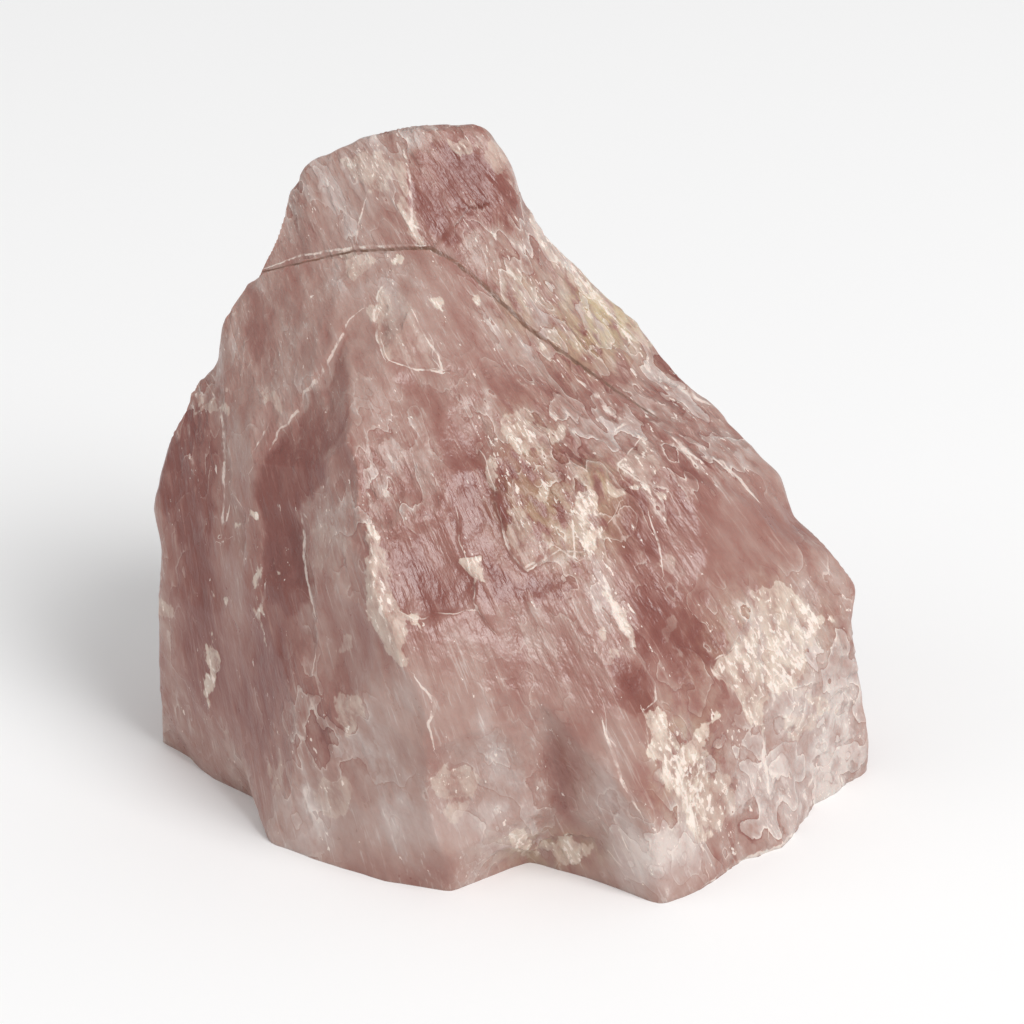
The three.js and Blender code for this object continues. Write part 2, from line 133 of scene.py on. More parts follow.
def place_on_table(spots):
    """The same for spots that lie on the table: towards is where the line of sight comes to z = 0."""
    across, up = np.asarray(spots, float).T
    towards = -(VIEW_MIDDLE[2] + up * COSINE) / (SINE - up * COSINE / SIGHT_DISTANCE)
    return place(np.column_stack((across, up, towards)))


def seen(points):
    """The inverse of place: across, up and towards of points in space."""
    offset = points - VIEW_MIDDLE
    towards = offset @ TO_EYE
    nearer = 1 - towards / SIGHT_DISTANCE
    return offset @ VIEW_RIGHT / nearer, offset @ VIEW_UP / nearer, towards


def unit(vectors):
    """Each vector divided by its own length."""
    return vectors / np.linalg.norm(vectors, axis=-1, keepdims=True)


def rough_form():
    """The corners, measured from the heart, and the triangles between them: the hull of the corners'
    directions says which three corners a flat face has."""
    outlines = RIGHT_OUTLINE + LEFT_OUTLINE + CRACK_LIP
    seen_corners = outlines + MAIN_RIDGE + RIGHT_RIDGE + LEFT_RIDGE + FACE_POINTS
    rim = np.vstack((place_on_table(FRONT_RIM), np.pad(np.array(BACK_RIM, float), ((0, 0), (0, 1)))))
    root = rim * (ROOT_TUCK, ROOT_TUCK, 0) - (0, 0, ROOT_DEPTH)
    above = np.vstack((place(seen_corners), BACK_POINTS))
    corners = np.vstack((above, rim, root, ((0, 0, -ROOT_DEPTH),))) - HEART
    work = bmesh.new()
    for direction in unit(corners):
        work.verts.new(direction)
    bmesh.ops.convex_hull(work, input=work.verts)
    work.verts.index_update()
    triangles = np.array([[v.index for v in face.verts] for face in work.faces])
    work.free()
    first_rim = len(above)
    return corners, triangles, first_rim, first_rim + len(rim)


corners, triangles, first_rim, first_root = rough_form()
# Each triangle's matrix turns a direction into its shares of the three corners.
share_matrices = np.linalg.inv(corners[triangles].transpose(0, 2, 1)).astype(np.float32)


def sharp_reach(directions):
    """How far the rough form reaches: the face whose shares of a direction are all positive is the
    one it leaves through, and the reach is one over the sum of those shares."""
    out = np.empty(len(directions))
    rows = share_matrices.reshape(-1, 3)
    sums = share_matrices.sum(1)
    for start in range(0, len(directions), TAKEN_AT_ONCE):
        part = directions[start : start + TAKEN_AT_ONCE].astype(np.float32)
        shares = (rows @ part.T).reshape(len(share_matrices), 3, -1)
        face = shares.min(1).argmax(0)
        out[start : start + TAKEN_AT_ONCE] = 1 / (sums[face] * part).sum(1)
    return out


def around(directions, angle, count):
    """Directions all round each given one, at an angle to it in radians."""
    slanting = np.abs(directions[:, 2:]) < NEARLY_UPRIGHT
    guide = np.where(slanting, (0, 0, 1), (1, 0, 0))
    first = unit(np.cross(directions, guide))
    second = np.cross(directions, first)
    for turn in 2 * np.pi * np.arange(count) / count:
        yield unit(directions + angle * (np.cos(turn) * first + np.sin(turn) * second))


def soft_reach(directions):
    """The rough form with rounded ridges: the mean of its reach in a direction and at six round it."""
    ring = [sharp_reach(d) for d in around(directions, SOFTENING, RING)]
    return (sharp_reach(directions) + sum(ring)) / (RING + 1)


# The surface: every face of the rough form is a fine triangular grid, so that ridges run along the
# grid's own lines. The dishes and steps of breaking are then taken out of it.

GRID_ROWS = 30
# A label is a corner's number times PART_PLACES with its part added, and stays below LABEL_PLACES.
PART_PLACES = 100
LABEL_PLACES = 100000


def surface_directions():
    """The directions of the surface's points and the small triangles between them. In each face a
    point is i, j and k parts of its three corners, with i + j + k the number of rows, and a point
    that two faces share is kept once, under the key of the corners and parts that it is made of."""
    faces = triangles[(triangles < first_root).all(1)]
    rows = range(GRID_ROWS + 1)
    parts = np.array([(i, j, GRID_ROWS - i - j) for i in rows for j in rows if i + j <= GRID_ROWS])
    labels = np.sort(np.where(parts > 0, (faces[:, None] + 1) * PART_PLACES + parts, 0), -1)
    a, b, c = np.moveaxis(labels.astype(np.int64), -1, 0)
    keys = (a * LABEL_PLACES + b) * LABEL_PLACES + c
    _, first, point_of = np.unique(keys.ravel(), return_index=True, return_inverse=True)
    grid = (corners[faces][:, None] * parts[None, :, :, None]).sum(2).reshape(-1, 3)[first]
    number = {(i, j): n for n, (i, j, _) in enumerate(parts)}
    small = []
    for i in range(GRID_ROWS):
        for j in range(GRID_ROWS - i):
            small.append((number[i, j], number[i + 1, j], number[i, j + 1]))
            if i + j < GRID_ROWS - 1:
                small.append((number[i + 1, j], number[i + 1, j + 1], number[i, j + 1]))
    point_of = point_of.reshape(len(faces), -1)
    on_rim = ((faces >= first_rim)[:, None] | (parts == 0)[None]).all(-1)
    rim_points = np.unique(point_of[on_rim])
    return unit(grid), point_of[:, np.array(small)].reshape(-1, 3), rim_points


def ramp(values, low, high):
    """0 below low, 1 above high, and a smooth rise between."""
    t = np.clip((values - low) / (high - low), 0, 1)
    return t * t * (3 - 2 * t)


# The noise table, and the large odd numbers that scatter a cube's place over it.
NOISE_SEED = 11
NOISE_SLOTS = 4096
HASH_X, HASH_Y, HASH_Z = 73856093, 19349663, 83492791
SEED_STEP = 17.3
noise_table = np.random.default_rng(NOISE_SEED).uniform(-1, 1, NOISE_SLOTS)


def noise(points, size, seed=0):
    """Smooth noise from -1 to 1: values at the corners of cubes `size` millimetres wide, blended
    inside each cube by smooth ramps along its three sides."""
    spot = points / size + seed * SEED_STEP
    cell = np.floor(spot).astype(np.int64)
    x, y, z = ramp(spot - cell, 0, 1).T
    total = np.zeros(len(points))
    for i, j, k in np.ndindex(2, 2, 2):
        slot = (cell[:, 0] + i) * HASH_X ^ (cell[:, 1] + j) * HASH_Y ^ (cell[:, 2] + k) * HASH_Z
        weight = (x if i else 1 - x) * (y if j else 1 - y) * (z if k else 1 - z)
        total += weight * noise_table[slot & (NOISE_SLOTS - 1)]
    return total


def waves(points, parts):
    """The sum of noises, each with its height, the size of its cubes and its seed."""
    return sum(height * noise(points, size, seed) for height, size, seed in parts)


# The larger breaks, each a dish: where it is, how far it tips to the right and up in degrees, how
# deep it bites and its radius. Behind, the place is x, y and z.
FRONT_BREAKS = [
    ((-40, 30, 11), (-3, 2), 1, 190), ((-43, -30, 12), (-4, 0), 1.1, 170),
    ((-57, -12, -4), (0, 0), 1, 80), ((-20, -50, 32), (0, -2), 1, 60), ((-9, -6, 34), (4, 4), 1.3, 90),
    ((22, -14, 27), (3, 5), 1.6, 90), ((48, -25, 9), (0, 0), 1.3, 90), ((37, -48, 19), (0, 0), 1.2, 60),
    ((40, -3, 13), (3, 4), 1, 180), ((19, 12, 17), (0, 0), 0.9, 80),
]
BACK_BREAKS = [
    ((14, 46, 62), (0, 0), 1.6, 100), ((-28, 48, 22), (0, -5), 1.8, 260),
    ((34, 42, 46), (4, 5), 1.8, 240), ((46, 32, 14), (0, -4), 1.6, 220),
]
# Chips that nobody would draw one by one: how many, the least and most of depth and radius, and
# how far they tip, in degrees.
CHIPS = 150
CHIP_SEED = 5
CHIP_DEPTH = (0.1, 0.4)
CHIP_RADIUS = (8, 60)
CHIP_TURN = 9
# Chips further behind than FAR_BEHIND are so many times deeper, and breaks placed lower than
# LOWEST_BREAK are left out.
FAR_BEHIND = -30
BACK_DEEPER = 5
LOWEST_BREAK = 6
# The angle, in radians, over which the way a place faces is found.
NORMAL_SPAN = 0.06


def facing(directions):
    """The way the soft form faces, from two crossing lines a few millimetres long."""
    ring = [d * soft_reach(d)[:, None] for d in around(directions, NORMAL_SPAN, 4)]
    normals = unit(np.cross(ring[0] - ring[2], ring[1] - ring[3]))
    return normals * np.sign((normals * directions).sum(1, keepdims=True))


def break_balls():
    """Every break and chip as a ball outside the stone that comes `depth` under its surface at its
    own place. Beside that place a tipped ball can cut deeper, most of all on a ridge. None is
    placed on the stone's foot, and chips go deeper behind, where only a few breaks are drawn."""
    listed = FRONT_BREAKS + BACK_BREAKS
    at = np.vstack((place([b[0] for b in FRONT_BREAKS]), [b[0] for b in BACK_BREAKS]))
    chance = np.random.default_rng(CHIP_SEED)
    directions = np.vstack((unit(at - HEART), unit(chance.normal(size=(CHIPS, 3)))))
    turns = np.vstack(([b[1] for b in listed], chance.normal(0, CHIP_TURN, (CHIPS, 2))))
    small = chance.uniform(0, 1, CHIPS) ** 2
    depths = np.append([b[2] for b in listed], CHIP_DEPTH[0] + (CHIP_DEPTH[1] - CHIP_DEPTH[0]) * small)
    radii = np.append([b[3] for b in listed], chance.uniform(*CHIP_RADIUS, CHIPS))
    reach = soft_reach(directions)
    towards = seen(HEART + directions * reach[:, None])[2]
    chip_behind = (np.arange(len(depths)) >= len(listed)) & (towards < FAR_BEHIND)
    depths = np.where(chip_behind, depths * BACK_DEEPER, depths)
    touch = directions * (reach - depths)[:, None]
    tilt = np.tan(np.radians(turns))
    normals = unit(facing(directions) + tilt[:, :1] * VIEW_RIGHT + tilt[:, 1:] * VIEW_UP)
    kept = HEART[2] + touch[:, 2] > LOWEST_BREAK
    return (touch + normals * radii[:, None])[kept], radii[kept]


# The steps where a thin slab has come away: drop, fade and the line as [across, up]. Walking along
# the line, the ground on the left is set back by drop, and it climbs again over fade.
STEPS = {
    "crack under cap": (2.4, 30, [
        (-50, 40.5), (-45.5, 43.2), (-38, 45.7), (-28.6, 47.2), (-21, 47.5), (-14.6, 48), (-10, 45.3),
        (-3.8, 40.2), (3.4, 33.3), (11.5, 27.4), (17, 23), (24, 17.5), (32, 12)]),
    "cap edge": (1.2, 18, [(-20.5, 66), (-18.5, 59.8), (-18.7, 53.5), (-17.8, 49.9), (-15, 47.6)]),
    "leaf scar": (0.45, 10, [
        (-24, 39), (-24.7, 33.7), (-23.6, 30), (-21.4, 27.4), (-17.3, 26), (-12.6, 25), (-13.3, 28.3),
        (-15.5, 32)]),
    "diagonal edge": (0.8, 14, [(-27, 37), (-31, 31), (-34.4, 25.6), (-37.6, 20.9), (-41, 16), (-47, 8)]),
    "left flank edge": (1.2, 13, [
        (-48.8, -12), (-49.7, 0.4), (-51.3, 5.8), (-51.7, 11.2), (-51.7, 16.6), (-52.4, 21),
        (-55.5, 26)]),
    "pocket edge": (1.4, 18, [
        (-36, -29), (-35.5, -20.3), (-35.8, -16.7), (-36.5, -12.2), (-37.6, -7.7), (-37.4, -3.2),
        (-38, 3)]),
    "middle step": (0.5, 15, [(-24, -16.5), (-18.2, -19), (-12.8, -18.9), (-10, -18.7), (-5.5, -17)]),
    "hollow edge": (0.7, 10, [(-3, -23), (-6.5, -15.8), (-7.7, -11.3), (-8.8, -6), (-10.5, 1)]),
    "shell lip": (0.8, 11, [
        (19.5, 2), (17, -3.5), (12.5, -6.8), (8.5, -6.2), (5.6, -8.3), (2.6, -10), (-0.4, -7.6),
        (-1.8, -2), (-2.9, 4), (-5.6, 10.3), (-6.5, 15)]),
    "right blade": (0.8, 8, [
        (16.5, -11), (18.7, -19.4), (21, -24), (23.2, -27), (25.4, -30.2), (26, -33.8), (25, -37.5)]),
    "cream patch edge": (1, 20, [
        (42, -12), (43, -19.4), (40.3, -23), (39, -24.8), (36.4, -27.5), (38, -31), (40.9, -33.8),
        (43, -36), (46, -41.5)]),
    "low cream edge": (1, 18, [
        (23, -35.5), (25, -42), (27.2, -46.4), (29.5, -50), (32.2, -52.7), (33, -56.3), (34, -60.8),
        (34.8, -66)]),
    "long blade": (0.5, 7, [(15.8, -33), (17.8, -42), (19.3, -47.3), (21.4, -51.8), (24, -56)]),
    "base notch": (1.4, 10, [
        (21, -65), (16, -60.5), (12.4, -58.7), (7, -59.4), (3.4, -61.4), (-0.2, -60.8), (-6, -63)]),
    "right foot edge": (0.6, 10, [(45, -37), (46.6, -44.6), (47.5, -51.8), (46, -59)]),
}
# The same for the back, with each line as [x, z] seen from the front, through the stone.
BACK_STEPS = {
    "slab face": (2.2, 26, [(-34, 76), (-29, 70), (-24, 60), (-33, 47), (-29, 33), (-37, 18), (-35, 4)]),
    "slab foot": (2, 18, [(-22, 24), (-8, 31), (2, 27), (16, 35), (27, 29), (38, 33), (52, 27)]),
    "high edge": (1.8, 22, [(40, 62), (28, 66), (17, 61), (7, 70), (5, 82), (-4, 90), (-3, 96)]),
    "low chip": (1.8, 12, [(8, -4), (12, 8), (20, 15), (29, 13), (36, 4)]),
}
# Where the breaks are hackly, full of small ledges, and not smooth.
HACKLY_CLOUDS = [
    (10.6, 9.4, 15, 14, 1), (-24.5, 2.2, 6, 10, 0.8), (32, -48, 8, 14, 0.8), (48, -25, 11, 13, 0.8),
    (34, 13, 13, 9, 1.2), (-3, 44, 6, 9, 0.8), (-24, 58, 10, 9, 0.3), (-32.6, -37.4, 5, 8, 0.5),
    (-11, -50, 7, 6, 0.5), (14, 36, 10, 8, 1.6), (50, -46, 9, 8, 0.6), (-56, 12, 4, 12, 0.4),
    (4, 52, 5, 6, 1.2), (50, -58, 14, 7, 1.6), (60, -30, 5, 12, 1), (-12, 70, 13, 4, 1),
    (-40, 60, 4, 8, 0.8), (28, 27, 7, 6, 1.2), (60, -48, 6, 8, 1), (-60, 22, 6, 6, 0.7),
]
# The fibres fan out from a place high above the left shoulder.
FAN_PLACE = (-88, 170)
FAN_REACH = 200
# Waves of the ground, as height, size and seed: where it is whole, in a break and where it is hackly.
UNEVEN = [(0.5, 13, 1), (0.3, 5, 2), (0.1, 2, 3)]
RAGGED = [(0.28, 6, 4), (0.12, 2.2, 5)]
CRUMBS = [(0.3, 3.6, 10), (0.16, 1.6, 11)]
# Small cusps of hackly ground, and how much the waves are worn off the whole stone.
CUSP_TOP = 0.25
CUSP_SIZE = 7
WORN_OFF = 0.3
# How the steps' lines wander, to the right and up, on the front and behind.
FRONT_SWAY = [[(1, 5, 6), (0.45, 1.7, 7)], [(1, 5, 8), (0.45, 1.7, 9)]]
BACK_SWAY = [[(2.5, 9, 15), (0.4, 2.5, 17)], [(2.5, 9, 16), (0.4, 2.5, 18)]]
# Behind, where nothing is drawn, hackly ground begins and is full at these levels of noise.
CHANCE_HACKLY = [(1, 22, 12)]
CHANCE_LEVELS = (-0.1, 0.5)
MOST_HACKLY = 2
# Half the width of a step's ramp, the share of its line over which it grows at each end, and where
# the front's steps begin and are full, as towards, and the back's, as y.
STEP_RAMP = 0.7
STEP_END = 0.14
STEP_REACH = (-26, -12)
BACK_STEP_REACH = (2, 18)
# Half the width of the painted highlight along a step's lip, what share of a line's width is left at its
# ends, and how much further off a line counts as being where it isn't shown.
LIP_HALF_WIDTH = 0.25
LINE_END_WIDTH = 0.3
HIDDEN_GAP = 20
# Ledges: how many levels the noise has, their height, where in a level the drop begins and its
# middle lies, how they stretch along the fibres, and their size.
LEDGE_LEVELS = 2.6
LEDGE_HEIGHT = 0.5
LEDGE_DROP_BEGINS = 0.7
LEDGE_MIDDLE = 0.35
LEDGE_STRETCH = (2, 1, 1.4)
LEDGE_SIZE = 6


def line_distance(line, across, up):
    """Distance to a line of straight stretches, positive on its left, and how far along the nearest
    place is, as a share of the number of stretches."""
    nearest = np.full(across.shape, np.inf)
    signed = np.zeros(across.shape)
    along = np.zeros(across.shape)
    for i, ((a0, u0), (a1, u1)) in enumerate(zip(line, line[1:])):
        da, du = a1 - a0, u1 - u0
        share = np.clip(((across - a0) * da + (up - u0) * du) / (da * da + du * du), 0, 1)
        rest_a, rest_u = across - a0 - share * da, up - u0 - share * du
        distance = np.hypot(rest_a, rest_u)
        closer = distance < nearest
        nearest = np.where(closer, distance, nearest)
        signed = np.where(closer, np.where(da * rest_u > du * rest_a, distance, -distance), signed)
        along = np.where(closer, (i + share) / (len(line) - 1), along)
    return signed, along


def cloud_amount(clouds, across, up):
    """The sum of round soft clouds: each falls off as a bell curve of the distance from its middle."""
    return sum(
        amount * np.exp(-((across - a) / half_a) ** 2 - ((up - u) / half_u) ** 2)
        for a, u, half_a, half_u, amount in clouds
    )


def grain_places(across, up, towards):
    """Each place as how far along the fibres, how far round their fan and how deep it is, in mm."""
    from_a, from_u = across - FAN_PLACE[0], up - FAN_PLACE[1]
    return np.column_stack((np.hypot(from_a, from_u), FAN_REACH * np.arctan2(from_u, from_a), towards))


def hackly_amount(points):
    """How hackly the ground is, from 0 to 2: drawn on the front, and left to chance behind."""
    across, up, towards = seen(points)
    front = ramp(towards, *STEP_REACH)
    drawn = np.clip(cloud_amount(HACKLY_CLOUDS, across, up), 0, MOST_HACKLY)
    return front * drawn + (1 - front) * ramp(waves(points, CHANCE_HACKLY), *CHANCE_LEVELS)


def ledges(points):
    """Small ledges as height in millimetres: noise is cut into levels, and the ground climbs slowly
    over most of a level and drops at its edge."""
    level = LEDGE_LEVELS * noise(grain_places(*seen(points)) / LEDGE_STRETCH, LEDGE_SIZE, seed=13)
    part = level - np.floor(level)
    return LEDGE_HEIGHT * (part - ramp(part, LEDGE_DROP_BEGINS, 1) - LEDGE_MIDDLE)


def nearest_line(lines, across, up):
    """For (half width, line) pairs, the signed distance to the nearest line as a share of half its
    width, which narrows to its ends, and the plain distance in millimetres."""
    nearest = np.full(across.shape, np.inf)
    share = np.full(across.shape, np.inf)
    for half_width, line in lines:
        signed, along = line_distance(line, across, up)
        closer = np.abs(signed) < nearest
        width = half_width * (LINE_END_WIDTH + (1 - LINE_END_WIDTH) * np.sin(np.pi * along))
        nearest = np.where(closer, np.abs(signed), nearest)
        share = np.where(closer, signed / width, share)
    return share, nearest


def set_back(steps, across, up):
    """How far the steps set back the ground: each has a short ramp across its line, a long fade
    behind it, and grows from nothing at both ends."""
    total = np.zeros(across.shape)
    for drop, fade, line in steps.values():
        signed, along = line_distance(line, across, up)
        ends = ramp(np.minimum(along, 1 - along), 0, STEP_END)
        total += drop * ends * ramp(signed, -STEP_RAMP, STEP_RAMP) * np.exp(-np.maximum(signed, 0) / fade)
    return total


def broken_surface(directions):
    """Points of the stone: the soft form's reach, roughened, is cut short where a ray enters a
    break's ball (the smaller root of its crossing, also roughened), and the steps are taken off.
    With them come the share and the gap to the nearest step's line, which is the step's lip, where
    the material paints a highlight."""
    reach = soft_reach(directions)
    whole = HEART + directions * reach[:, None]
    hackly = hackly_amount(whole)
    cusps = CUSP_TOP - np.abs(noise(whole, CUSP_SIZE, seed=14))
    crumbled = hackly * (ledges(whole) + cusps + waves(whole, CRUMBS))
    ragged = waves(whole, RAGGED) + crumbled
    struck = reach + waves(whole, UNEVEN) + crumbled - WORN_OFF
    for centre, radius in zip(*break_balls()):
        along = directions @ centre
        inside = along**2 - centre @ centre + radius**2
        entry = along - np.sqrt(np.maximum(inside, 0))
        struck = np.where((inside > 0) & (along > 0), np.minimum(struck, entry + ragged), struck)
    point = HEART + directions * struck[:, None]
    across, up, towards = seen(point)
    x, y, z = point.T
    sway, swing = (waves(point, parts) for parts in FRONT_SWAY)
    bend, rise = (waves(point, parts) for parts in BACK_SWAY)
    views = (
        (STEPS, ramp(towards, *STEP_REACH), across + sway, up + swing),
        (BACK_STEPS, ramp(y, *BACK_STEP_REACH), x + bend, z + rise),
    )
    lip = np.zeros(len(point))
    lip_gap = np.full(len(point), np.inf)
    for steps, shown, right, top in views:
        struck = struck - shown * set_back(steps, right, top)
        lips = [(LIP_HALF_WIDTH * min(drop, 1), line) for drop, _, line in steps.values()]
        share, gap = nearest_line(lips, right, top)
        gap += HIDDEN_GAP * (1 - shown)
        lip = np.where(gap < lip_gap, share, lip)
        lip_gap = np.minimum(lip_gap, gap)
    return HEART + directions * struck[:, None], lip, lip_gap


# A millimetre in metres, and the angle between faces from which an edge is shown sharp.
MILLIMETRE = 0.001
SHARP_ANGLE = math.radians(50)


def stone_mesh():
    """The mesh in metres: the surface with its rim laid on the table, kept inside the solid model's
    box, and one flat face under it that follows the rim."""
    directions, small, rim_points = surface_directions()
    points, lip, lip_gap = broken_surface(directions)
    points[rim_points, 2] = 0
    low, high = (np.array(corner) / MILLIMETRE for corner in cad_box)
    points = np.clip(points, low, high)
    turn = np.arctan2(points[rim_points, 1], points[rim_points, 0])
    base = rim_points[np.argsort(-turn)]
    first, second, third = points[small].transpose(1, 0, 2)
    outward = np.cross(second - first, third - first)
    inside_out = (outward * (points[small].mean(1) - HEART)).sum(1) < 0
    small[inside_out] = small[inside_out][:, ::-1]
    mesh = bpy.data.meshes.new("rose_quartz")
    mesh.from_pydata((points * MILLIMETRE).tolist(), [], small.tolist() + [base.tolist()])
    mesh.shade_smooth()
    mesh.set_sharp_from_angle(angle=SHARP_ANGLE)
    mesh.validate()
    return mesh, points, lip, lip_gap


mesh, points, lip, lip_gap = stone_mesh()
stone = bpy.data.objects.new("rose_quartz", mesh)
bpy.context.collection.objects.link(stone)
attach(stone, "root")
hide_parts("rose_quartz_stone")

# What is seen in and on the quartz: lifted flakes, crushed patches, thin bright edges, which are painted
# highlights, and clouds of deeper and milkier colour, some of them painted shade. They are drawn here as
# smooth fields, one number to each point of the surface, in millimetres or amounts, and the material
# sharpens them. Places are [across, up].

# Pale patches: how white, then the outline.
PALE_PATCHES = {
    "cap top": (0.42, [(-31.7, 63), (-26, 64.6), (-21.2, 63.9), (-22.9, 56.5), (-25, 57.1), (-28, 60.5)]),
    "cap ridge": (0.5, [
        (-21.1, 63.7), (-18.7, 65.2), (-18.2, 57.2), (-18, 51.8), (-15.7, 49.3), (-19.1, 49),
        (-20.3, 55.3)]),
    "cap fin": (0.1, [
        (-9.5, 46.6), (-7.9, 48.2), (-4, 50.9), (-1.3, 52.9), (0.7, 50.6), (1.1, 47.2), (2.7, 40.5),
        (3.8, 38.5), (2.3, 34.9), (-1.6, 38.5), (-6.7, 42.7)]),
    "under the crack": (0.5, [(-31, 46.6), (-25, 46.6), (-25.7, 42.7), (-27.9, 41.2), (-29.9, 42.8)]),
    "leaf scar": (0.45, [
        (-22.7, 41), (-24.6, 36), (-24.3, 31.3), (-22.7, 27.2), (-20.6, 28.6), (-22.2, 33),
        (-21.6, 38)]),
    "upper flake": (0.6, [
        (-0.7, 18.4), (1.6, 18.7), (3.8, 15.5), (7.2, 13.9), (6.1, 10.4), (2.2, 10.4), (-0.2, 12.1),
        (-2.2, 14.4), (-2.2, 17.1)]),
    "lobe": (0.35, [
        (-2.2, 0.4), (-1.8, -2.9), (-0.5, -7.2), (2.5, -10.8), (5.9, -8.5), (6.5, -6.1), (4.5, -4.1),
        (1.5, -1)]),
    "lumpy flake": (0.85, [
        (10.8, 3.1), (12.6, 3.8), (15.5, 3.8), (16.9, 2.5), (14.2, -0.9), (17.1, -4.9), (15.5, -6.1),
        (13.9, -8.3), (12.8, -6.1), (14.8, -4.9), (13.5, -2.9), (11.9, -1.8)]),
    "small tail": (0.7, [(17.8, 5.8), (20.5, 5.4), (26.5, 3.6), (21, 3.4), (18, 3)]),
    "grey triangle": (0.3, [(23.8, 14), (19.1, 8.5), (22.1, 6.1), (26.1, 3.8), (27, 8)]),
    "blade": (0.65, [
        (17.1, -13.5), (18.9, -17.8), (20.5, -22.9), (22.1, -25.6), (23.2, -23.6), (21.4, -19.4),
        (19.1, -16.2)]),
    "middle flake": (0.7, [(-8.8, -8.8), (-4.1, -8.5), (-6.1, -12.2), (-7.7, -15.1)]),
    "right patch": (0.7, [
        (41.2, -15.7), (42.8, -19.6), (39.6, -24.7), (36.2, -27.5), (36.5, -29.5), (41.8, -34.6),
        (45.2, -40.3), (45.5, -33.8), (50.8, -30.6), (52.6, -26.6), (57.4, -19.6), (53.1, -16.9),
        (47.5, -12.6), (44.1, -13.7)]),
    "right band": (0.8, [(50.8, -31.3), (55.8, -33.8), (58.5, -36), (55.6, -37.4), (52, -34.7)]),
    "low patch": (0.85, [
        (24.1, -35.3), (23.2, -38), (24.8, -41.6), (28.4, -49.5), (32.2, -53.3), (34.2, -60.8),
        (36, -58), (34.2, -50.2), (34.2, -41.9), (36.9, -36.5), (35.5, -36.9), (31.5, -40.3),
        (28.8, -42.8), (27.5, -38.5), (26.5, -35.3)]),
    # The thin edge is painted light: paler where light comes through the thin stone.
    "thin edge": (0.45, [
        (3, 56), (8.4, 51), (14.8, 45), (23, 37.5), (29, 30), (24, 30), (18, 35), (11.5, 41), (5, 48)]),
    "crushed ridge": (0.62, [
        (-26, -2), (-22.2, -8), (-21.4, -14), (-19.2, -20), (-17.4, -28), (-21.2, -27.5), (-24.6, -20),
        (-26.8, -14), (-26.4, -8)]),
    "leaf": (0.2, [(-22.7, 41), (-24.6, 33), (-22.5, 27.5), (-13, 25.4), (-15.5, 32), (-19.5, 38.5)]),
    "dome facet": (0.12, [(-38, -4), (-31, -2), (-29.5, -6), (-32, -12), (-37, -9)]),
    "left ridge top": (0.5, [(-58, 18.6), (-52, 21.2), (-51.4, 18), (-54, 17.6)]),
}
# Deep pink places with crisp edges, where clear stone shows under a break, and in the clefts, the hollow,
# the left pocket and under the lobe also painted shade: how deep, then the outline.
DEEP_PATCHES = {
    "cap right": (0.55, [
        (-18.2, 65.2), (-12.8, 67.3), (-7.4, 65.2), (-2, 62.5), (0.7, 57.1), (3.4, 51.7), (0.7, 53.5),
        (-2.5, 52.2), (-5.9, 49.9), (-9.5, 47.2), (-11.3, 47.2), (-14.6, 49.9), (-17.8, 54),
        (-18.5, 59.8)]),
    "left pocket": (0.5, [
        (-56.9, 21.1), (-53.8, 18.4), (-53.1, 11.2), (-53.5, 2.2), (-54.2, -6.8), (-56, -15.8),
        (-59.6, -8.6), (-62.6, -1.4), (-63.2, 5.8), (-61.4, 13), (-59.6, 18.4)]),
    "wedge": (0.5, [
        (-29.9, 31), (-32.6, 25.6), (-38, 18.4), (-44.8, 10.3), (-45.5, 5.8), (-44.8, -1.4),
        (-43.7, -8.6), (-40.7, -19.4), (-38, -17.6), (-36.4, -14), (-37.3, -5), (-37.8, -0.5),
        (-34.7, 5.8), (-31.7, 11.2), (-29.9, 16.6), (-29, 23.8)]),
    "wedge foot": (0.35, [
        (-44.8, 5.8), (-40.7, 7.6), (-37.4, 4), (-37.8, -0.5), (-36.9, -8.6), (-36.4, -15.8),
        (-43.4, -15.8), (-44.8, -8.6), (-46.1, -1.4)]),
    "hollow": (0.3, [
        (-17, 2), (-13.5, 4), (-10.5, 1.5), (-9.9, -3.2), (-8.8, -8.6), (-6.5, -13), (-4, -15),
        (-7.9, -17.5), (-12.8, -18.9), (-15, -17), (-17, -12), (-19, -6)]),
    "right cleft": (0.6, [
        (20, -13.1), (23.2, -14), (25.4, -15.8), (25.9, -20.3), (24.1, -23), (22.5, -20.3),
        (21.1, -16.7)]),
    "lower cleft": (0.5, [
        (18.2, -25.7), (22.3, -27.5), (25.9, -32), (25, -36), (21.8, -37.4), (19.3, -33.8),
        (17.8, -29.3)]),
    "upper cleft": (0.5, [
        (16, -1.4), (20.5, -0.5), (25, -2.3), (26.8, -5.9), (25, -8.6), (20.5, -7.7), (16.9, -5.9)]),
    "under the lobe": (0.45, [
        (-5.6, -8.6), (-0.2, -11.3), (6.1, -12.2), (11.5, -8.6), (14.2, -11.3), (11.5, -15.8),
        (3.4, -16.7), (-3.8, -15.8)]),
}
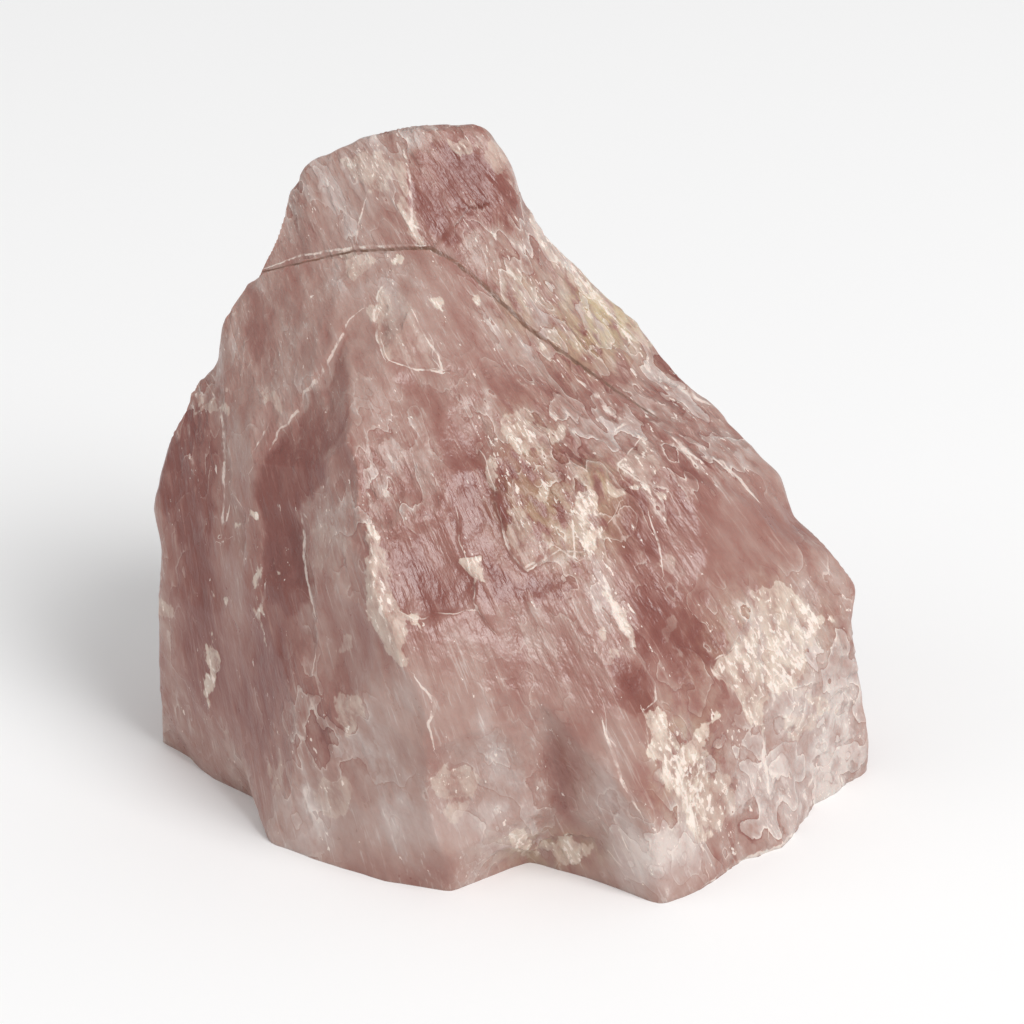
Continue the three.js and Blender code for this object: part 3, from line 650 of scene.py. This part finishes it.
# Smaller ones: how white, across, up, half the width and half the height.
PALE_SPOTS = [
    (0.75, -54, -28.3, 1.5, 5), (0.4, -62.6, -17.3, 1.3, 2.4), (0.35, -29.9, -22.7, 1.8, 2.3),
    (0.5, -29.7, -35.5, 2.2, 4.5), (0.4, -10.4, -48.6, 3.9, 3.3), (0.4, -10.6, -53.3, 1.6, 2.2),
    (0.3, -32.2, -50.6, 3.9, 3.3), (0.3, -42.1, -48.1, 1.4, 2.2), (0.25, 28.1, -9.7, 1.7, 1.8),
    (0.15, 28.3, -20.5, 1.5, 2.3), (0.4, 36.9, -51.5, 4, 4.5), (0.5, 51.7, -38.9, 2.5, 2),
    (0.7, 1.3, -60.1, 2.4, 2.1), (0.7, 9.7, -60.8, 6, 2), (0.6, -8.6, 65.7, 2.7, 1.8),
    (0.4, -2.5, 63.7, 1.8, 3), (0.4, -43.1, 19.5, 1.1, 2.3), (0.9, -47.7, -0.4, 0.7, 0.9),
    (0.8, -41.9, -10.4, 0.8, 1.1), (0.7, -45, -17.5, 0.7, 3.4), (0.7, -52, -15.3, 0.6, 0.8),
    (0.7, -54, -24.3, 0.6, 1), (0.7, -6.3, 38.5, 0.8, 0.9), (0.7, -13.7, 37.3, 0.9, 0.6),
    (0.8, -21.6, 45.2, 0.8, 0.7), (0.7, 4.3, 29.3, 0.7, 0.5), (0.6, -27, 24, 0.6, 0.6),
    (0.5, 5.6, 3.8, 0.6, 1.4), (0.5, 8.1, 13.5, 0.8, 1.6), (0.8, -19.3, -19.1, 2, 0.9),
    (0.6, 16, -22.5, 0.7, 1.8), (0.6, 18.5, -26, 0.7, 1), (0.6, -2.7, 6, 0.8, 2.6),
]
# Bright lines where an edge or an old crack catches the light: half the width, then the line.
BRIGHT_LINES = [
    (0.5, [(-27.4, 5.6), (-25.7, 2.3), (-25.4, -5.4)]),
    (0.35, [(-17.6, -29.5), (-13.7, -34.2), (-14.8, -38.2), (-14, -42.5)]),
    (0.25, [(-19.4, 65), (-18.4, 60.7), (-18.2, 57.2), (-18, 51.8), (-16.2, 50.6), (-14.9, 48.6)]),
    (0.2, [(-26.3, 56.3), (-27.5, 51.8), (-28.3, 47.5)]),
    (0.25, [(-54.7, 22.9), (-52.4, 18.9), (-51.7, 14.6), (-51.7, 6.8), (-52, -4.3), (-50.6, 1.6)]),
    (0.2, [(-43.7, 15.7), (-46.3, 11.2)]),
    (0.25, [(-38, 0), (-37.1, -4.3), (-37.4, -7.7), (-36.7, -12.1), (-36, -15.7), (-35.3, -18.7)]),
    (0.22, [(-21.6, 27), (-17.6, 25.7), (-12.6, 25.2), (-13.3, 28.3), (-14.9, 30.2), (-18, 36.4)]),
    (0.25, [(-22.7, 41.2), (-23.9, 39.6), (-24.7, 35.3), (-24.3, 31.3), (-22.9, 27.4)]),
    (0.2, [(-2.2, 0.4), (-1.8, -2.9), (-0.5, -7.2), (2.5, -10.8), (5.9, -8.5), (6.5, -6.1), (4.5, -4.1)]),
    (0.2, [(7.9, -6.1), (11.2, -8.5), (10.6, 2.2)]),
    (0.2, [(23.8, 14), (19.1, 8.5), (22.1, 6.1), (26.1, 3.8)]),
    (0.4, [(28.8, 13.5), (33.8, 9.2)]),
    (0.4, [(37.1, 9.4), (38.5, 8.5)]),
    (0.4, [(29.9, 22.5), (35.5, 19.4)]),
    (0.5, [(11.9, 23.8), (15.7, 20.5), (17.5, 17.8), (20.9, 16.4), (18.9, 14.8)]),
    (0.9, [(16.8, -12), (18.5, -17), (20.3, -21), (22.4, -26)]),
    (0.25, [(22, -25), (23.8, -28), (25.6, -31), (25.9, -33.8), (24.1, -35.3)]),
    (0.2, [(24.5, -0.2), (26.5, -6.1), (27.2, -11.2)]),
    (0.3, [(42.5, -35.3), (45.2, -40.5), (45.9, -47), (46.8, -55.3)]),
    (0.25, [(54.7, -47), (52.7, -49.9)]),
    (0.35, [(16.2, -37.3), (17.8, -42.7), (19.8, -48.6), (22.9, -53.8)]),
    (0.2, [(17.5, -53.3), (20.9, -60.8)]),
    (0.22, [(-46, 43.2), (-38, 46.1), (-28.6, 47.6), (-18.5, 47.9), (-14.9, 47.9)]),
    (0.2, [(-7.9, 43.4), (-5, 40), (-2, 37.6)]),
    (0.25, [(30, 13.9), (35, 11), (41, 6), (45, 1)]),
    (0.3, [(-44.3, -12.8), (-44.8, -15.5), (-46, -18.7)]),
    (0.5, [(35.5, -66.5), (41, -62.8), (49, -59.5), (53, -55.5), (56.4, -51.6), (63, -47)]),
]
# The long crack under the cap: its dark line is painted shade.
CRACK_LINE = [
    (-46, 42.9), (-28.6, 46.9), (-14.6, 47.5), (-10, 44.8), (-3.8, 39.6), (3.4, 32.8), (11.5, 27),
    (19, 21.6), (26, 17),
]
# Soft clouds: across, up, half the width, half the height and the amount. In the first list more
# than 0 is deeper pink and less is milkier, and its broad cloud over the middle is painted shade.
TONE_AND_SHADE_CLOUDS = [
    (-41.8, -0.7, 5.5, 14, 0.25), (-56, 9, 4, 10, 0.4), (-43.4, -32, 6, 15, 0.9),
    (-13.3, -9.7, 6, 9.5, 0.8), (21.4, -3.2, 6, 6.5, 0.8), (23.2, -19, 4, 5.5, 0.6),
    (22, -31.3, 4, 5.5, 0.3), (0.7, -32, 4.5, 7, 0.4), (8.8, -45.5, 5, 8, 0.5), (-11, 57, 6.5, 8, 0.3),
    (-45, 31, 5, 8, 0.35), (4.3, 1.3, 7, 6, 0.4), (5.2, 22, 8, 4, 0.3), (-8, 4, 8, 7, 0.3),
    (34, -24, 6, 8, 0.35), (50, -4, 8, 6, 0.3), (-2, 45, 6, 7, 0.25), (-56, -20, 5, 16, 0.4),
    # The broad cloud at (-4, -6) is painted shade that darkens the middle, which faces the light.
    (-4, -6, 26, 24, 0.35), (-20, 38, 12, 7, -0.25), (-19.6, -35.1, 6.5, 8, -0.6),
    (-12.8, -57, 13, 6, -0.7), (-61, -25, 3, 10, -0.4), (55.6, -33.8, 7, 9, -0.5),
    (30.4, -60.8, 6, 5, -0.45), (32.2, 9, 12, 8, 0.2), (6, 8, 9, 9, 0.35), (8, 22, 12, 7, 0.3),
    (-29, -8.6, 4, 14, -0.2), (-30.8, 56.2, 7, 8, -0.35), (-33.3, -2.3, 4.3, 3.9, -0.1),
    (46.6, -45, 6, 8, -0.35), (5.6, 51.7, 2, 2.6, -0.7), (10.4, 45.2, 2.5, 2.5, -0.7),
    (16, -50, 4, 10, -0.4), (-30, -56, 14, 7, -0.4), (-8, -24, 8, 6, 0.1), (47, -24, 8, 9, -0.3),
    (-58, -4, 6, 20, 0.4), (-40, 12, 6, 9, 0.2), (30, -20, 9, 9, 0.8), (-16, 33, 5, 8, -0.15),
    (24, -2, 9, 8, 0.3), (2, -40, 12, 8, -0.3), (58, -45, 10, 11, -0.6), (20, 30, 9, 6, 0.2),
    (24, -62, 8, 5, -0.9), (-35, -41, 6, 9, 0.35), (19.6, -41, 4, 7, -0.45), (40, -6, 8, 5, -0.2),
    (-58, -25, 7, 18, 0.3), (-34, 19, 5, 5, -0.25), (-23, -12, 4, 10, 0.4), (5, 3, 7, 8, 0.25),
]
SMOOTH_CLOUDS = [
    (-12, -28, 10, 20, 0.6), (-12, -8, 6, 9, 0.7), (-28, 33, 14, 10, 0.4), (-47, -5, 8, 22, 0.5),
    (38, -6, 9, 6, 0.5), (-14, 57, 7, 8, 0.3),
]
# Yellow stains; the strong cloud at the thin right edge, (19.1, 38), is also painted light coming through
# the thin stone.
YELLOW_CLOUDS = [
    (0.7, 38, 3, 6, 0.6), (19.1, 38, 9, 8, 1.6), (2.5, 13.9, 5, 5, 0.5), (4.3, 1.3, 7, 7, 0.6),
    (15.8, 4.9, 4, 4, 0.8), (46.6, -23, 10, 9, 0.5), (30.4, -44.6, 6, 10, 0.5), (7, -60.5, 9, 3, 0.8),
    (13, -4, 6, 6, 0.5), (12, 30, 6, 5, 0.5),
]


def inside_outline(outline, across, up):
    """How far inside a closed outline a place is, in millimetres, and less than 0 outside: the
    distance to the nearest side, with its sign from how often a ray to the right crosses a side."""
    closed = outline + outline[:1]
    crossings = 0
    for (a0, u0), (a1, u1) in zip(closed, closed[1:]):
        if u0 != u1:
            left_of_side = across < a0 + (up - u0) * (a1 - a0) / (u1 - u0)
            crossings = crossings + (((u0 > up) != (u1 > up)) & left_of_side)
    distance = np.abs(line_distance(closed, across, up)[0])
    return np.where(crossings % 2 == 1, distance, -distance)


def pale_fields(across, up):
    """The largest distance inside any pale patch or spot, and how white that one is."""
    depth = np.full(across.shape, -np.inf)
    white = np.zeros(across.shape)
    patches = [(amount, inside_outline(outline, across, up)) for amount, outline in PALE_PATCHES.values()]
    for amount, a, u, half_a, half_u in PALE_SPOTS:
        oval = 1 - np.hypot((across - a) / half_a, (up - u) / half_u)
        patches.append((amount, oval * min(half_a, half_u)))
    for amount, inside in patches:
        white = np.where(inside > depth, amount, white)
        depth = np.maximum(depth, inside)
    return depth, white


CRACK_HALF_WIDTH = 0.42
# The deepest tone that is drawn, where deep patches begin and are full inside their outlines, and
# the largest number that a field holds.
DEEPEST = 0.85
DEEP_EDGE = (-0.4, 0.6)
FARTHEST = 50
# Waves, as height, size and seed: how outlines wander to the right and up, and the tone and the
# stains behind, where none is drawn.
OUTLINE_SWAY = [[(1.5, 4.2, 20), (0.6, 1.7, 21)], [(1.5, 4.2, 22), (0.6, 1.7, 23)]]
CHANCE_TONE = [(0.7, 26, 24), (0.5, 9, 25)]
CHANCE_STAINS = [(1, 19, 26)]
STAIN_LEVELS = (0.25, 0.8)


def deep_amount(across, up):
    """How deep the pink is in the deep patches, which fade in over a millimetre at their edges. In the
    recesses it is partly painted shade.
    """
    return sum(
        deep * ramp(inside_outline(outline, across, up), *DEEP_EDGE)
        for deep, outline in DEEP_PATCHES.values()
    )


def fields(points):
    """Every field of the surface by its name. What is drawn in the view shows only on what faces it,
    and noise takes its place behind."""
    across, up, towards = seen(points)
    front = ramp(towards, *STEP_REACH)
    away = HIDDEN_GAP * (1 - front)
    sway, swing = (waves(points, parts) for parts in OUTLINE_SWAY)
    pale, white = pale_fields(across + sway, up + swing)
    line, line_gap = nearest_line(BRIGHT_LINES, across, up)
    crack, crack_gap = nearest_line([(CRACK_HALF_WIDTH, CRACK_LINE)], across, up)
    drawn_tone_and_shade = cloud_amount(TONE_AND_SHADE_CLOUDS, across, up) + deep_amount(across + sway, up + swing)
    drawn_tone_and_shade = np.minimum(drawn_tone_and_shade, DEEPEST)
    drawn_smooth = front * cloud_amount(SMOOTH_CLOUDS, across, up)
    drawn_yellow = cloud_amount(YELLOW_CLOUDS, across, up)
    chance_yellow = ramp(waves(points, CHANCE_STAINS), *STAIN_LEVELS)
    return {
        "pale": pale - away,
        "white": white * front,
        "line": line,
        "line_gap": line_gap + away,
        "lip": lip,
        "lip_gap": lip_gap,
        "crack": crack,
        "crack_gap": crack_gap + away,
        "tone": front * drawn_tone_and_shade + (1 - front) * waves(points, CHANCE_TONE),
        "yellow": front * drawn_yellow + (1 - front) * chance_yellow,
        "hackly": hackly_amount(points) - drawn_smooth,
        "hidden": 1 - front,
    }


for name, values in fields(points).items():
    values = np.clip(values, -FARTHEST, FARTHEST).astype(np.float32)
    mesh.attributes.new(name, "FLOAT", "POINT").data.foreach_set("value", values)
grain = grain_places(*seen(points)).astype(np.float32)
mesh.attributes.new("grain", "FLOAT_VECTOR", "POINT").data.foreach_set("vector", grain.ravel())

# Rose quartz: cloudy pink, milkier in some places and deeper in others, with fine fibres and small
# white flakes. Light goes a few millimetres in. Breaks are glossy where they are smooth, and crushed
# and lifted places are pale and dull. Highlights and small glints are painted on edges and lines, shade
# is painted in the crack and in some recesses, and light is painted at the thin right edge.


def srgb(red, green, blue):
    """A colour given as a screen shows it, from 0 to 255, made linear by the screen's own curve."""
    part = np.array((red, green, blue)) / 255
    return (*np.where(part <= 0.04045, part / 12.92, ((part + 0.055) / 1.055) ** 2.4), 1)


def add(tree, kind, sockets=(), **settings):
    """A node with its settings, each socket either linked to another node's output or given a value."""
    made = tree.nodes.new(kind)
    for name, value in settings.items():
        setattr(made, name, value)
    for name, value in dict(sockets).items():
        if isinstance(value, bpy.types.NodeSocket):
            tree.links.new(value, made.inputs[name])
        else:
            made.inputs[name].default_value = value
    return made


def calc(tree, operation, *values, clamp=False):
    """The result of one sum, product or other step on numbers and sockets."""
    return add(tree, "ShaderNodeMath", enumerate(values), operation=operation, use_clamp=clamp).outputs[0]


def product(tree, first, *others):
    """The first value times all the others."""
    for other in others:
        first = calc(tree, "MULTIPLY", first, other)
    return first


def largest(tree, first, *others):
    """The largest of the values."""
    for other in others:
        first = calc(tree, "MAXIMUM", first, other)
    return first


def weigh(tree, start, *terms):
    """The start, a plain number, and of each (value, amount) pair the value times the amount."""
    total = start
    for value, amount in terms:
        total = calc(tree, "MULTIPLY_ADD", value, amount, total)
    return total


def between(tree, value, low, high, to_low=0.0, to_high=1.0):
    """A smooth change from to_low to to_high while the value goes from low to high."""
    sockets = {"Value": value, "From Min": low, "From Max": high, "To Min": to_low, "To Max": to_high}
    return add(tree, "ShaderNodeMapRange", sockets, interpolation_type="SMOOTHSTEP").outputs["Result"]


def cover(tree, under, over, amount):
    """The colour under, covered with the colour over by an amount from 0 to 1."""
    made = add(tree, "ShaderNodeMix", {"Factor": amount}, data_type="RGBA")
    below, above = (socket for socket in made.inputs if socket.type == "RGBA")
    tree.links.new(under, below)
    if isinstance(over, bpy.types.NodeSocket):
        tree.links.new(over, above)
    else:
        above.default_value = over
    return next(socket for socket in made.outputs if socket.type == "RGBA")


def colour_ramp(tree, amount, steps):
    """The colour at an amount, from a list of (amount, colour)."""
    made = add(tree, "ShaderNodeValToRGB", {"Fac": amount})
    stops = made.color_ramp.elements
    stops.remove(stops[1])
    stops[0].position, stops[0].color = steps[0]
    for position, colour in steps[1:]:
        stops.new(position).color = colour
    return made.outputs["Color"]


def field(tree, name, socket="Fac"):
    """A field of the surface by its name."""
    return add(tree, "ShaderNodeAttribute", attribute_name=name).outputs[socket]


def line_mask(tree, name, wander, guard):
    """1 on a thin line of the surface's fields and 0 off it. Its signed distance, as a share of half
    its width, is moved by noise, and its plain distance keeps false lines away."""
    moved = calc(tree, "ADD", field(tree, name), wander)
    on_line = between(tree, calc(tree, "ABSOLUTE", moved), *LEVELS["on line"])
    return product(tree, on_line, between(tree, field(tree, name + "_gap"), guard, GUARD_EDGE * guard))


# Size along the fibres, across them and into the stone in millimetres, and the number of octaves.
NOISES = {
    "clouds": ((28, 12, 15), 2),
    "bands": ((34, 2.4, 6), 2),
    "threads": ((18, 0.42, 1.2), 2),
    "mottle": ((4.4, 2.4, 3), 3),
    "specks": ((1.8, 0.7, 0.9), 3),
    "shells": ((16, 9, 11), 2),
}
NOISE_ROUGHNESS = 0.56
FLAKE_SIZE = (5.5, 2.6, 3.6)
# Each mix starts from a number and takes so much of each cue: heights and distances in millimetres,
# and the rest as amounts from 0 to 1.
MIXES = {
    "patchy": (-0.8, {"clouds": 2}),
    "rises": (0, {"shells": 7, "mottle": 1}),
    "wander": (-3.1, {"mottle": 4.4, "bands": 1, "specks": 0.8}),
    "chance": (-25, {"clouds": 40}),
    "behind": (-30, {"hidden": 30}),
    "white": (0, {"drawn_white": 1, "hidden": 0.5}),
    "streaked": (0, {"mottle": 0.45, "bands": 0.35, "specks": 0.2}),
    # speckled says where the small glints are painted.
    "speckled": (0, {"specks": 1, "bands": 0.5, "hackly": 0.08, "crushed": 0.18}),
    "broken": (-0.26, {"shell_tone": 0.14, "cell_tone": 0.18, "mottle": 0.36}),
    "milk": (0.03, {
        "clouds": 0.6, "bands": 0.2, "mottle": 0.26, "fibres": 0.16, "broken": 1, "glow": 0.13,
        "under": -0.14, "tone": -0.34}),
    "crinkle": (-0.4, {"mottle": 0.4, "specks": 0.35, "slope": -0.25, "cell_depth": 0.7}),
    "relief": (0, {"crinkle": 1, "mottle": 0.4, "bands": 0.3, "threads": 0.07}),
    "roughness": (0.2, {"mottle": 0.22, "dull": 0.25, "hackly": 0.06}),
}
# Where each mask begins and ends on its cue, and what it goes from and to where that isn't 0 to 1.
LEVELS = {
    "on line": (1.2, 0.6),
    # glow is painted light before a shell's edge, and under is painted shade just past it.
    "glow": (0.4, 0.95),
    "under": (0.14, 0),
    "strong": (0.42, 0.58),
    "shell edge": (0.86, 0.96),
    "patch": (-0.1, 0.3),
    "rim": (0.9, 0.3),
    "inner": (0.4, 0.56, 0.35, 1),
    "crushed": (-0.8, 1.5),
    "line": (0.42, 0.56, 0.1, 0.7),
    "painted_glint": (0.985, 1.03, 0, 0.8),
    "thread": (0.55, 0.7),
    "band": (0.38, 0.6),
    "stain_and_edge_light": (0.36, 0.6, 0, 0.55),
    "crack": (0.36, 0.6, 0.45, 0.95),
}
# How bright the painted highlights on shell edges and step lips are, how white the patches' rims are,
# how rough crushed places are, and how far lines wander.
SHELL_EDGE_HIGHLIGHT = 0.6
RIM_WHITE = 0.8
LIP_HIGHLIGHT = 0.55
CRUSHED_ROUGH = 0.7
LINE_WANDER = 1.3
CRACK_WANDER = 0.45
# How far from a line nothing of it shows, in millimetres, and where its fading begins.
LINE_GUARD = 2
LIP_GUARD = 0.8
GUARD_EDGE = 0.8
# From deep and clear to milky.
MILK_COLOURS = [
    (0, srgb(108, 54, 47)), (0.28, srgb(128, 75, 66)), (0.46, srgb(150, 106, 96)),
    (0.64, srgb(170, 139, 129)), (0.82, srgb(187, 166, 159)), (1, srgb(208, 193, 186)),
]
PALE_COLOURS = [(0.38, srgb(200, 178, 164)), (0.6, srgb(221, 205, 190))]
# The white of the painted highlights and glints.
HIGHLIGHT_WHITE = srgb(236, 222, 212)
# The yellow of the stains, and of the painted light at the thin right edge.
YELLOW_STAIN_AND_EDGE_LIGHT = srgb(192, 172, 132)
# The painted shade in the crack.
CRACK_SHADE_BROWN = srgb(112, 78, 60)


def mix(tree, cues, name):
    """A mix of the cues: its start and the sum of each cue times its amount."""
    start, amounts = MIXES[name]
    return weigh(tree, start, *((cues[cue], amount) for cue, amount in amounts.items()))


def quartz_noises(tree, grain):
    """Every noise by its name, stretched along the fibres."""
    cues = {}
    for name, (size, octaves) in NOISES.items():
        place = add(tree, "ShaderNodeVectorMath", {0: grain, 1: size}, operation="DIVIDE").outputs[0]
        sockets = {"Vector": place, "Scale": 1.0, "Detail": octaves, "Roughness": NOISE_ROUGHNESS}
        cues[name] = add(tree, "ShaderNodeTexNoise", sockets).outputs["Fac"]
    return cues


def quartz_shells(tree, cues):
    """Thin shells: their edges are the contour lines of a noise, and each has a tone of its own. Where
    the ground is hackly, each shell is painted lighter towards its edge, a highlight is painted on the
    edge and shade is painted just past it.
    """
    rises = mix(tree, cues, "rises")
    number = calc(tree, "FLOOR", rises)
    cues["slope"] = calc(tree, "FRACT", rises)
    cues["glow"] = product(tree, between(tree, cues["slope"], *LEVELS["glow"]), cues["hackly"])
    cues["under"] = product(tree, between(tree, cues["slope"], *LEVELS["under"]), cues["hackly"])
    tone = add(tree, "ShaderNodeTexWhiteNoise", {"W": number}, noise_dimensions="1D")
    cues["shell_tone"] = tone.outputs["Value"]
    cues["strong"] = between(tree, cues["mottle"], *LEVELS["strong"])
    edge = between(tree, cues["slope"], *LEVELS["shell edge"])
    cues["shell_edge"] = product(tree, edge, cues["hackly"], cues["strong"], SHELL_EDGE_HIGHLIGHT)


def quartz_flakes(tree, cues, grain):
    """Small angular flakes: cells of a grid of scattered points, each with a tone of its own."""
    bent = add(tree, "ShaderNodeVectorMath", {0: grain, 1: FLAKE_SIZE}, operation="DIVIDE").outputs[0]
    bent = add(tree, "ShaderNodeVectorMath", {0: bent, 1: cues["mottle"]}, operation="ADD").outputs[0]
    cells = add(tree, "ShaderNodeTexVoronoi", {"Vector": bent, "Scale": 1.0}).outputs
    cues["cell_depth"] = cells["Distance"]
    cues["cell_tone"] = add(tree, "ShaderNodeSeparateColor", {"Color": cells["Color"]}).outputs["Red"]


def quartz_patches(tree, cues):
    """Pale patches with wandering edges, drawn on the front and left to chance behind."""
    cues["hidden"] = field(tree, "hidden")
    cues["drawn_white"] = field(tree, "white")
    wander = mix(tree, cues, "wander")
    chance = calc(tree, "MINIMUM", mix(tree, cues, "chance"), mix(tree, cues, "behind"))
    ragged = calc(tree, "ADD", largest(tree, field(tree, "pale"), chance), wander)
    white = mix(tree, cues, "white")
    cues["streaked"] = mix(tree, cues, "streaked")
    patch = between(tree, ragged, *LEVELS["patch"])
    rim = product(tree, patch, between(tree, ragged, *LEVELS["rim"]), RIM_WHITE)
    inner = product(tree, patch, between(tree, cues["streaked"], *LEVELS["inner"]))
    cues["pale"] = product(tree, largest(tree, rim, inner), white)
    cues["crushed"] = product(tree, between(tree, ragged, *LEVELS["crushed"]), white)
    cues["wander"] = wander


def quartz_lines(tree, cues):
    """Painted highlights on bright lines and on the lips of steps, small painted glints, fibres, and the
    dark line of the crack, which is painted shade.
    """
    wander = product(tree, cues["wander"], LINE_WANDER)
    shown = between(tree, cues["mottle"], *LEVELS["line"])
    line = product(tree, line_mask(tree, "line", wander, LINE_GUARD), shown)
    lip = product(tree, line_mask(tree, "lip", wander, LIP_GUARD), cues["strong"], LIP_HIGHLIGHT)
    # Small painted glints, where the speckled mix is highest.
    painted_glint = between(tree, mix(tree, cues, "speckled"), *LEVELS["painted_glint"])
    cues["bright"] = largest(tree, line, lip, painted_glint, cues["shell_edge"])
    threads = between(tree, cues["threads"], *LEVELS["thread"])
    cues["fibres"] = product(tree, threads, between(tree, cues["bands"], *LEVELS["band"]))
    crack = line_mask(tree, "crack", product(tree, wander, CRACK_WANDER), LINE_GUARD)
    cues["crack"] = product(tree, crack, between(tree, cues["mottle"], *LEVELS["crack"]))


def quartz_colour(tree, cues):
    """Milky or deep pink, with painted shade and light in places, then stains and the painted light at
    the thin edge, pale patches, painted highlights and the crack's painted shade over it.
    """
    cues["tone"] = field(tree, "tone")
    cues["broken"] = product(tree, mix(tree, cues, "broken"), cues["hackly"])
    colour = colour_ramp(tree, mix(tree, cues, "milk"), MILK_COLOURS)
    stain_and_edge_light = product(tree, field(tree, "yellow"), between(tree, cues["mottle"], *LEVELS["stain_and_edge_light"]))
    colour = cover(tree, colour, YELLOW_STAIN_AND_EDGE_LIGHT, calc(tree, "ADD", stain_and_edge_light, 0.0, clamp=True))
    colour = cover(tree, colour, colour_ramp(tree, cues["streaked"], PALE_COLOURS), cues["pale"])
    # Painted highlights and glints, then the crack's painted shade.
    colour = cover(tree, colour, HIGHLIGHT_WHITE, cues["bright"])
    return cover(tree, colour, CRACK_SHADE_BROWN, cues["crack"])


def quartz_relief(tree, cues):
    """Height in millimetres: low waves everywhere, and crinkles where the break is rough."""
    rough = largest(tree, cues["hackly"], product(tree, cues["crushed"], CRUSHED_ROUGH))
    cues["crinkle"] = product(tree, rough, mix(tree, cues, "crinkle"))
    return mix(tree, cues, "relief")


# How strongly light bends, how much of it scatters inside, and its reach in each colour and in metres.
QUARTZ_IOR = 1.54
GLOW_WEIGHT = 0.3
GLOW_COLOUR = (1, 0.5, 0.42)
GLOW_DEPTH = 0.003


def rose_quartz_material():
    """Polished-looking where it broke smoothly, duller where it is crushed or lifted, with light
    scattering a few millimetres below the surface."""
    quartz = bpy.data.materials.new("rose_quartz")
    quartz.use_nodes = True
    tree = quartz.node_tree
    shader = tree.nodes["Principled BSDF"]
    grain = field(tree, "grain", "Vector")
    cues = quartz_noises(tree, grain)
    cues["hackly"] = calc(tree, "ADD", field(tree, "hackly"), mix(tree, cues, "patchy"), clamp=True)
    quartz_shells(tree, cues)
    quartz_flakes(tree, cues, grain)
    quartz_patches(tree, cues)
    quartz_lines(tree, cues)
    cues["dull"] = largest(tree, cues["pale"], cues["bright"])
    height = quartz_relief(tree, cues)
    bump = add(tree, "ShaderNodeBump", {"Height": height, "Distance": MILLIMETRE, "Strength": 1.0})
    tree.links.new(quartz_colour(tree, cues), shader.inputs["Base Color"])
    tree.links.new(mix(tree, cues, "roughness"), shader.inputs["Roughness"])
    tree.links.new(bump.outputs["Normal"], shader.inputs["Normal"])
    shader.inputs["IOR"].default_value = QUARTZ_IOR
    shader.inputs["Subsurface Weight"].default_value = GLOW_WEIGHT
    shader.inputs["Subsurface Radius"].default_value = GLOW_COLOUR
    shader.inputs["Subsurface Scale"].default_value = GLOW_DEPTH
    return quartz


mesh.materials.append(rose_quartz_material())

# The floor, the light and the camera. They are the room and not the object: a plain pale floor, one
# large soft light from the front right, a weaker one from the left, and the view of the outline.

FLOOR_EDGE = 3
FLOOR_GREY = 0.92
FLOOR_ROUGHNESS = 0.9
SKY_STRENGTH = 0.55
STONE_MIDDLE = Vector((0, 0, 0.05))

floor = bpy.data.objects.new("floor", bpy.data.meshes.new("floor"))
floor_corners = [(FLOOR_EDGE * i, FLOOR_EDGE * j, 0) for i, j in ((-1, -1), (1, -1), (1, 1), (-1, 1))]
floor.data.from_pydata(floor_corners, [], [(0, 1, 2, 3)])
bpy.context.collection.objects.link(floor)
paper = bpy.data.materials.new("floor_paper")
paper.use_nodes = True
paper_shader = paper.node_tree.nodes["Principled BSDF"]
paper_shader.inputs["Base Color"].default_value = (FLOOR_GREY, FLOOR_GREY, FLOOR_GREY, 1)
paper_shader.inputs["Roughness"].default_value = FLOOR_ROUGHNESS
floor.data.materials.append(paper)

world = bpy.data.worlds.new("studio")
bpy.context.scene.world = world
world.use_nodes = True
sky = world.node_tree.nodes["Background"]
sky.inputs["Color"].default_value = (1, 1, 1, 1)
sky.inputs["Strength"].default_value = SKY_STRENGTH


def soft_light(name, spot, size, watts):
    """A square area light that looks at the stone."""
    light = bpy.data.lights.new(name, "AREA")
    light.size = size
    light.energy = watts
    lamp = bpy.data.objects.new(name, light)
    lamp.location = spot
    lamp.rotation_euler = (Vector(spot) - STONE_MIDDLE).to_track_quat("Z", "Y").to_euler()
    bpy.context.collection.objects.link(lamp)


soft_light("window_light", (1.5, -1.5, 2.25), 1.5, 66)
soft_light("left_light", (-2.4, -0.6, 1.5), 1.8, 8)

LENS = 135
SENSOR_WIDTH = 36

camera = bpy.data.objects.new("camera", bpy.data.cameras.new("camera"))
camera.data.lens = LENS
camera.data.sensor_width = SENSOR_WIDTH
camera.location = (VIEW_MIDDLE + SIGHT_DISTANCE * TO_EYE) * MILLIMETRE
camera.rotation_euler = (math.pi / 2 - LOOK_DOWN, 0, 0)
bpy.context.collection.objects.link(camera)
bpy.context.scene.camera = camera
bpy.context.scene.view_settings.view_transform = "Standard"
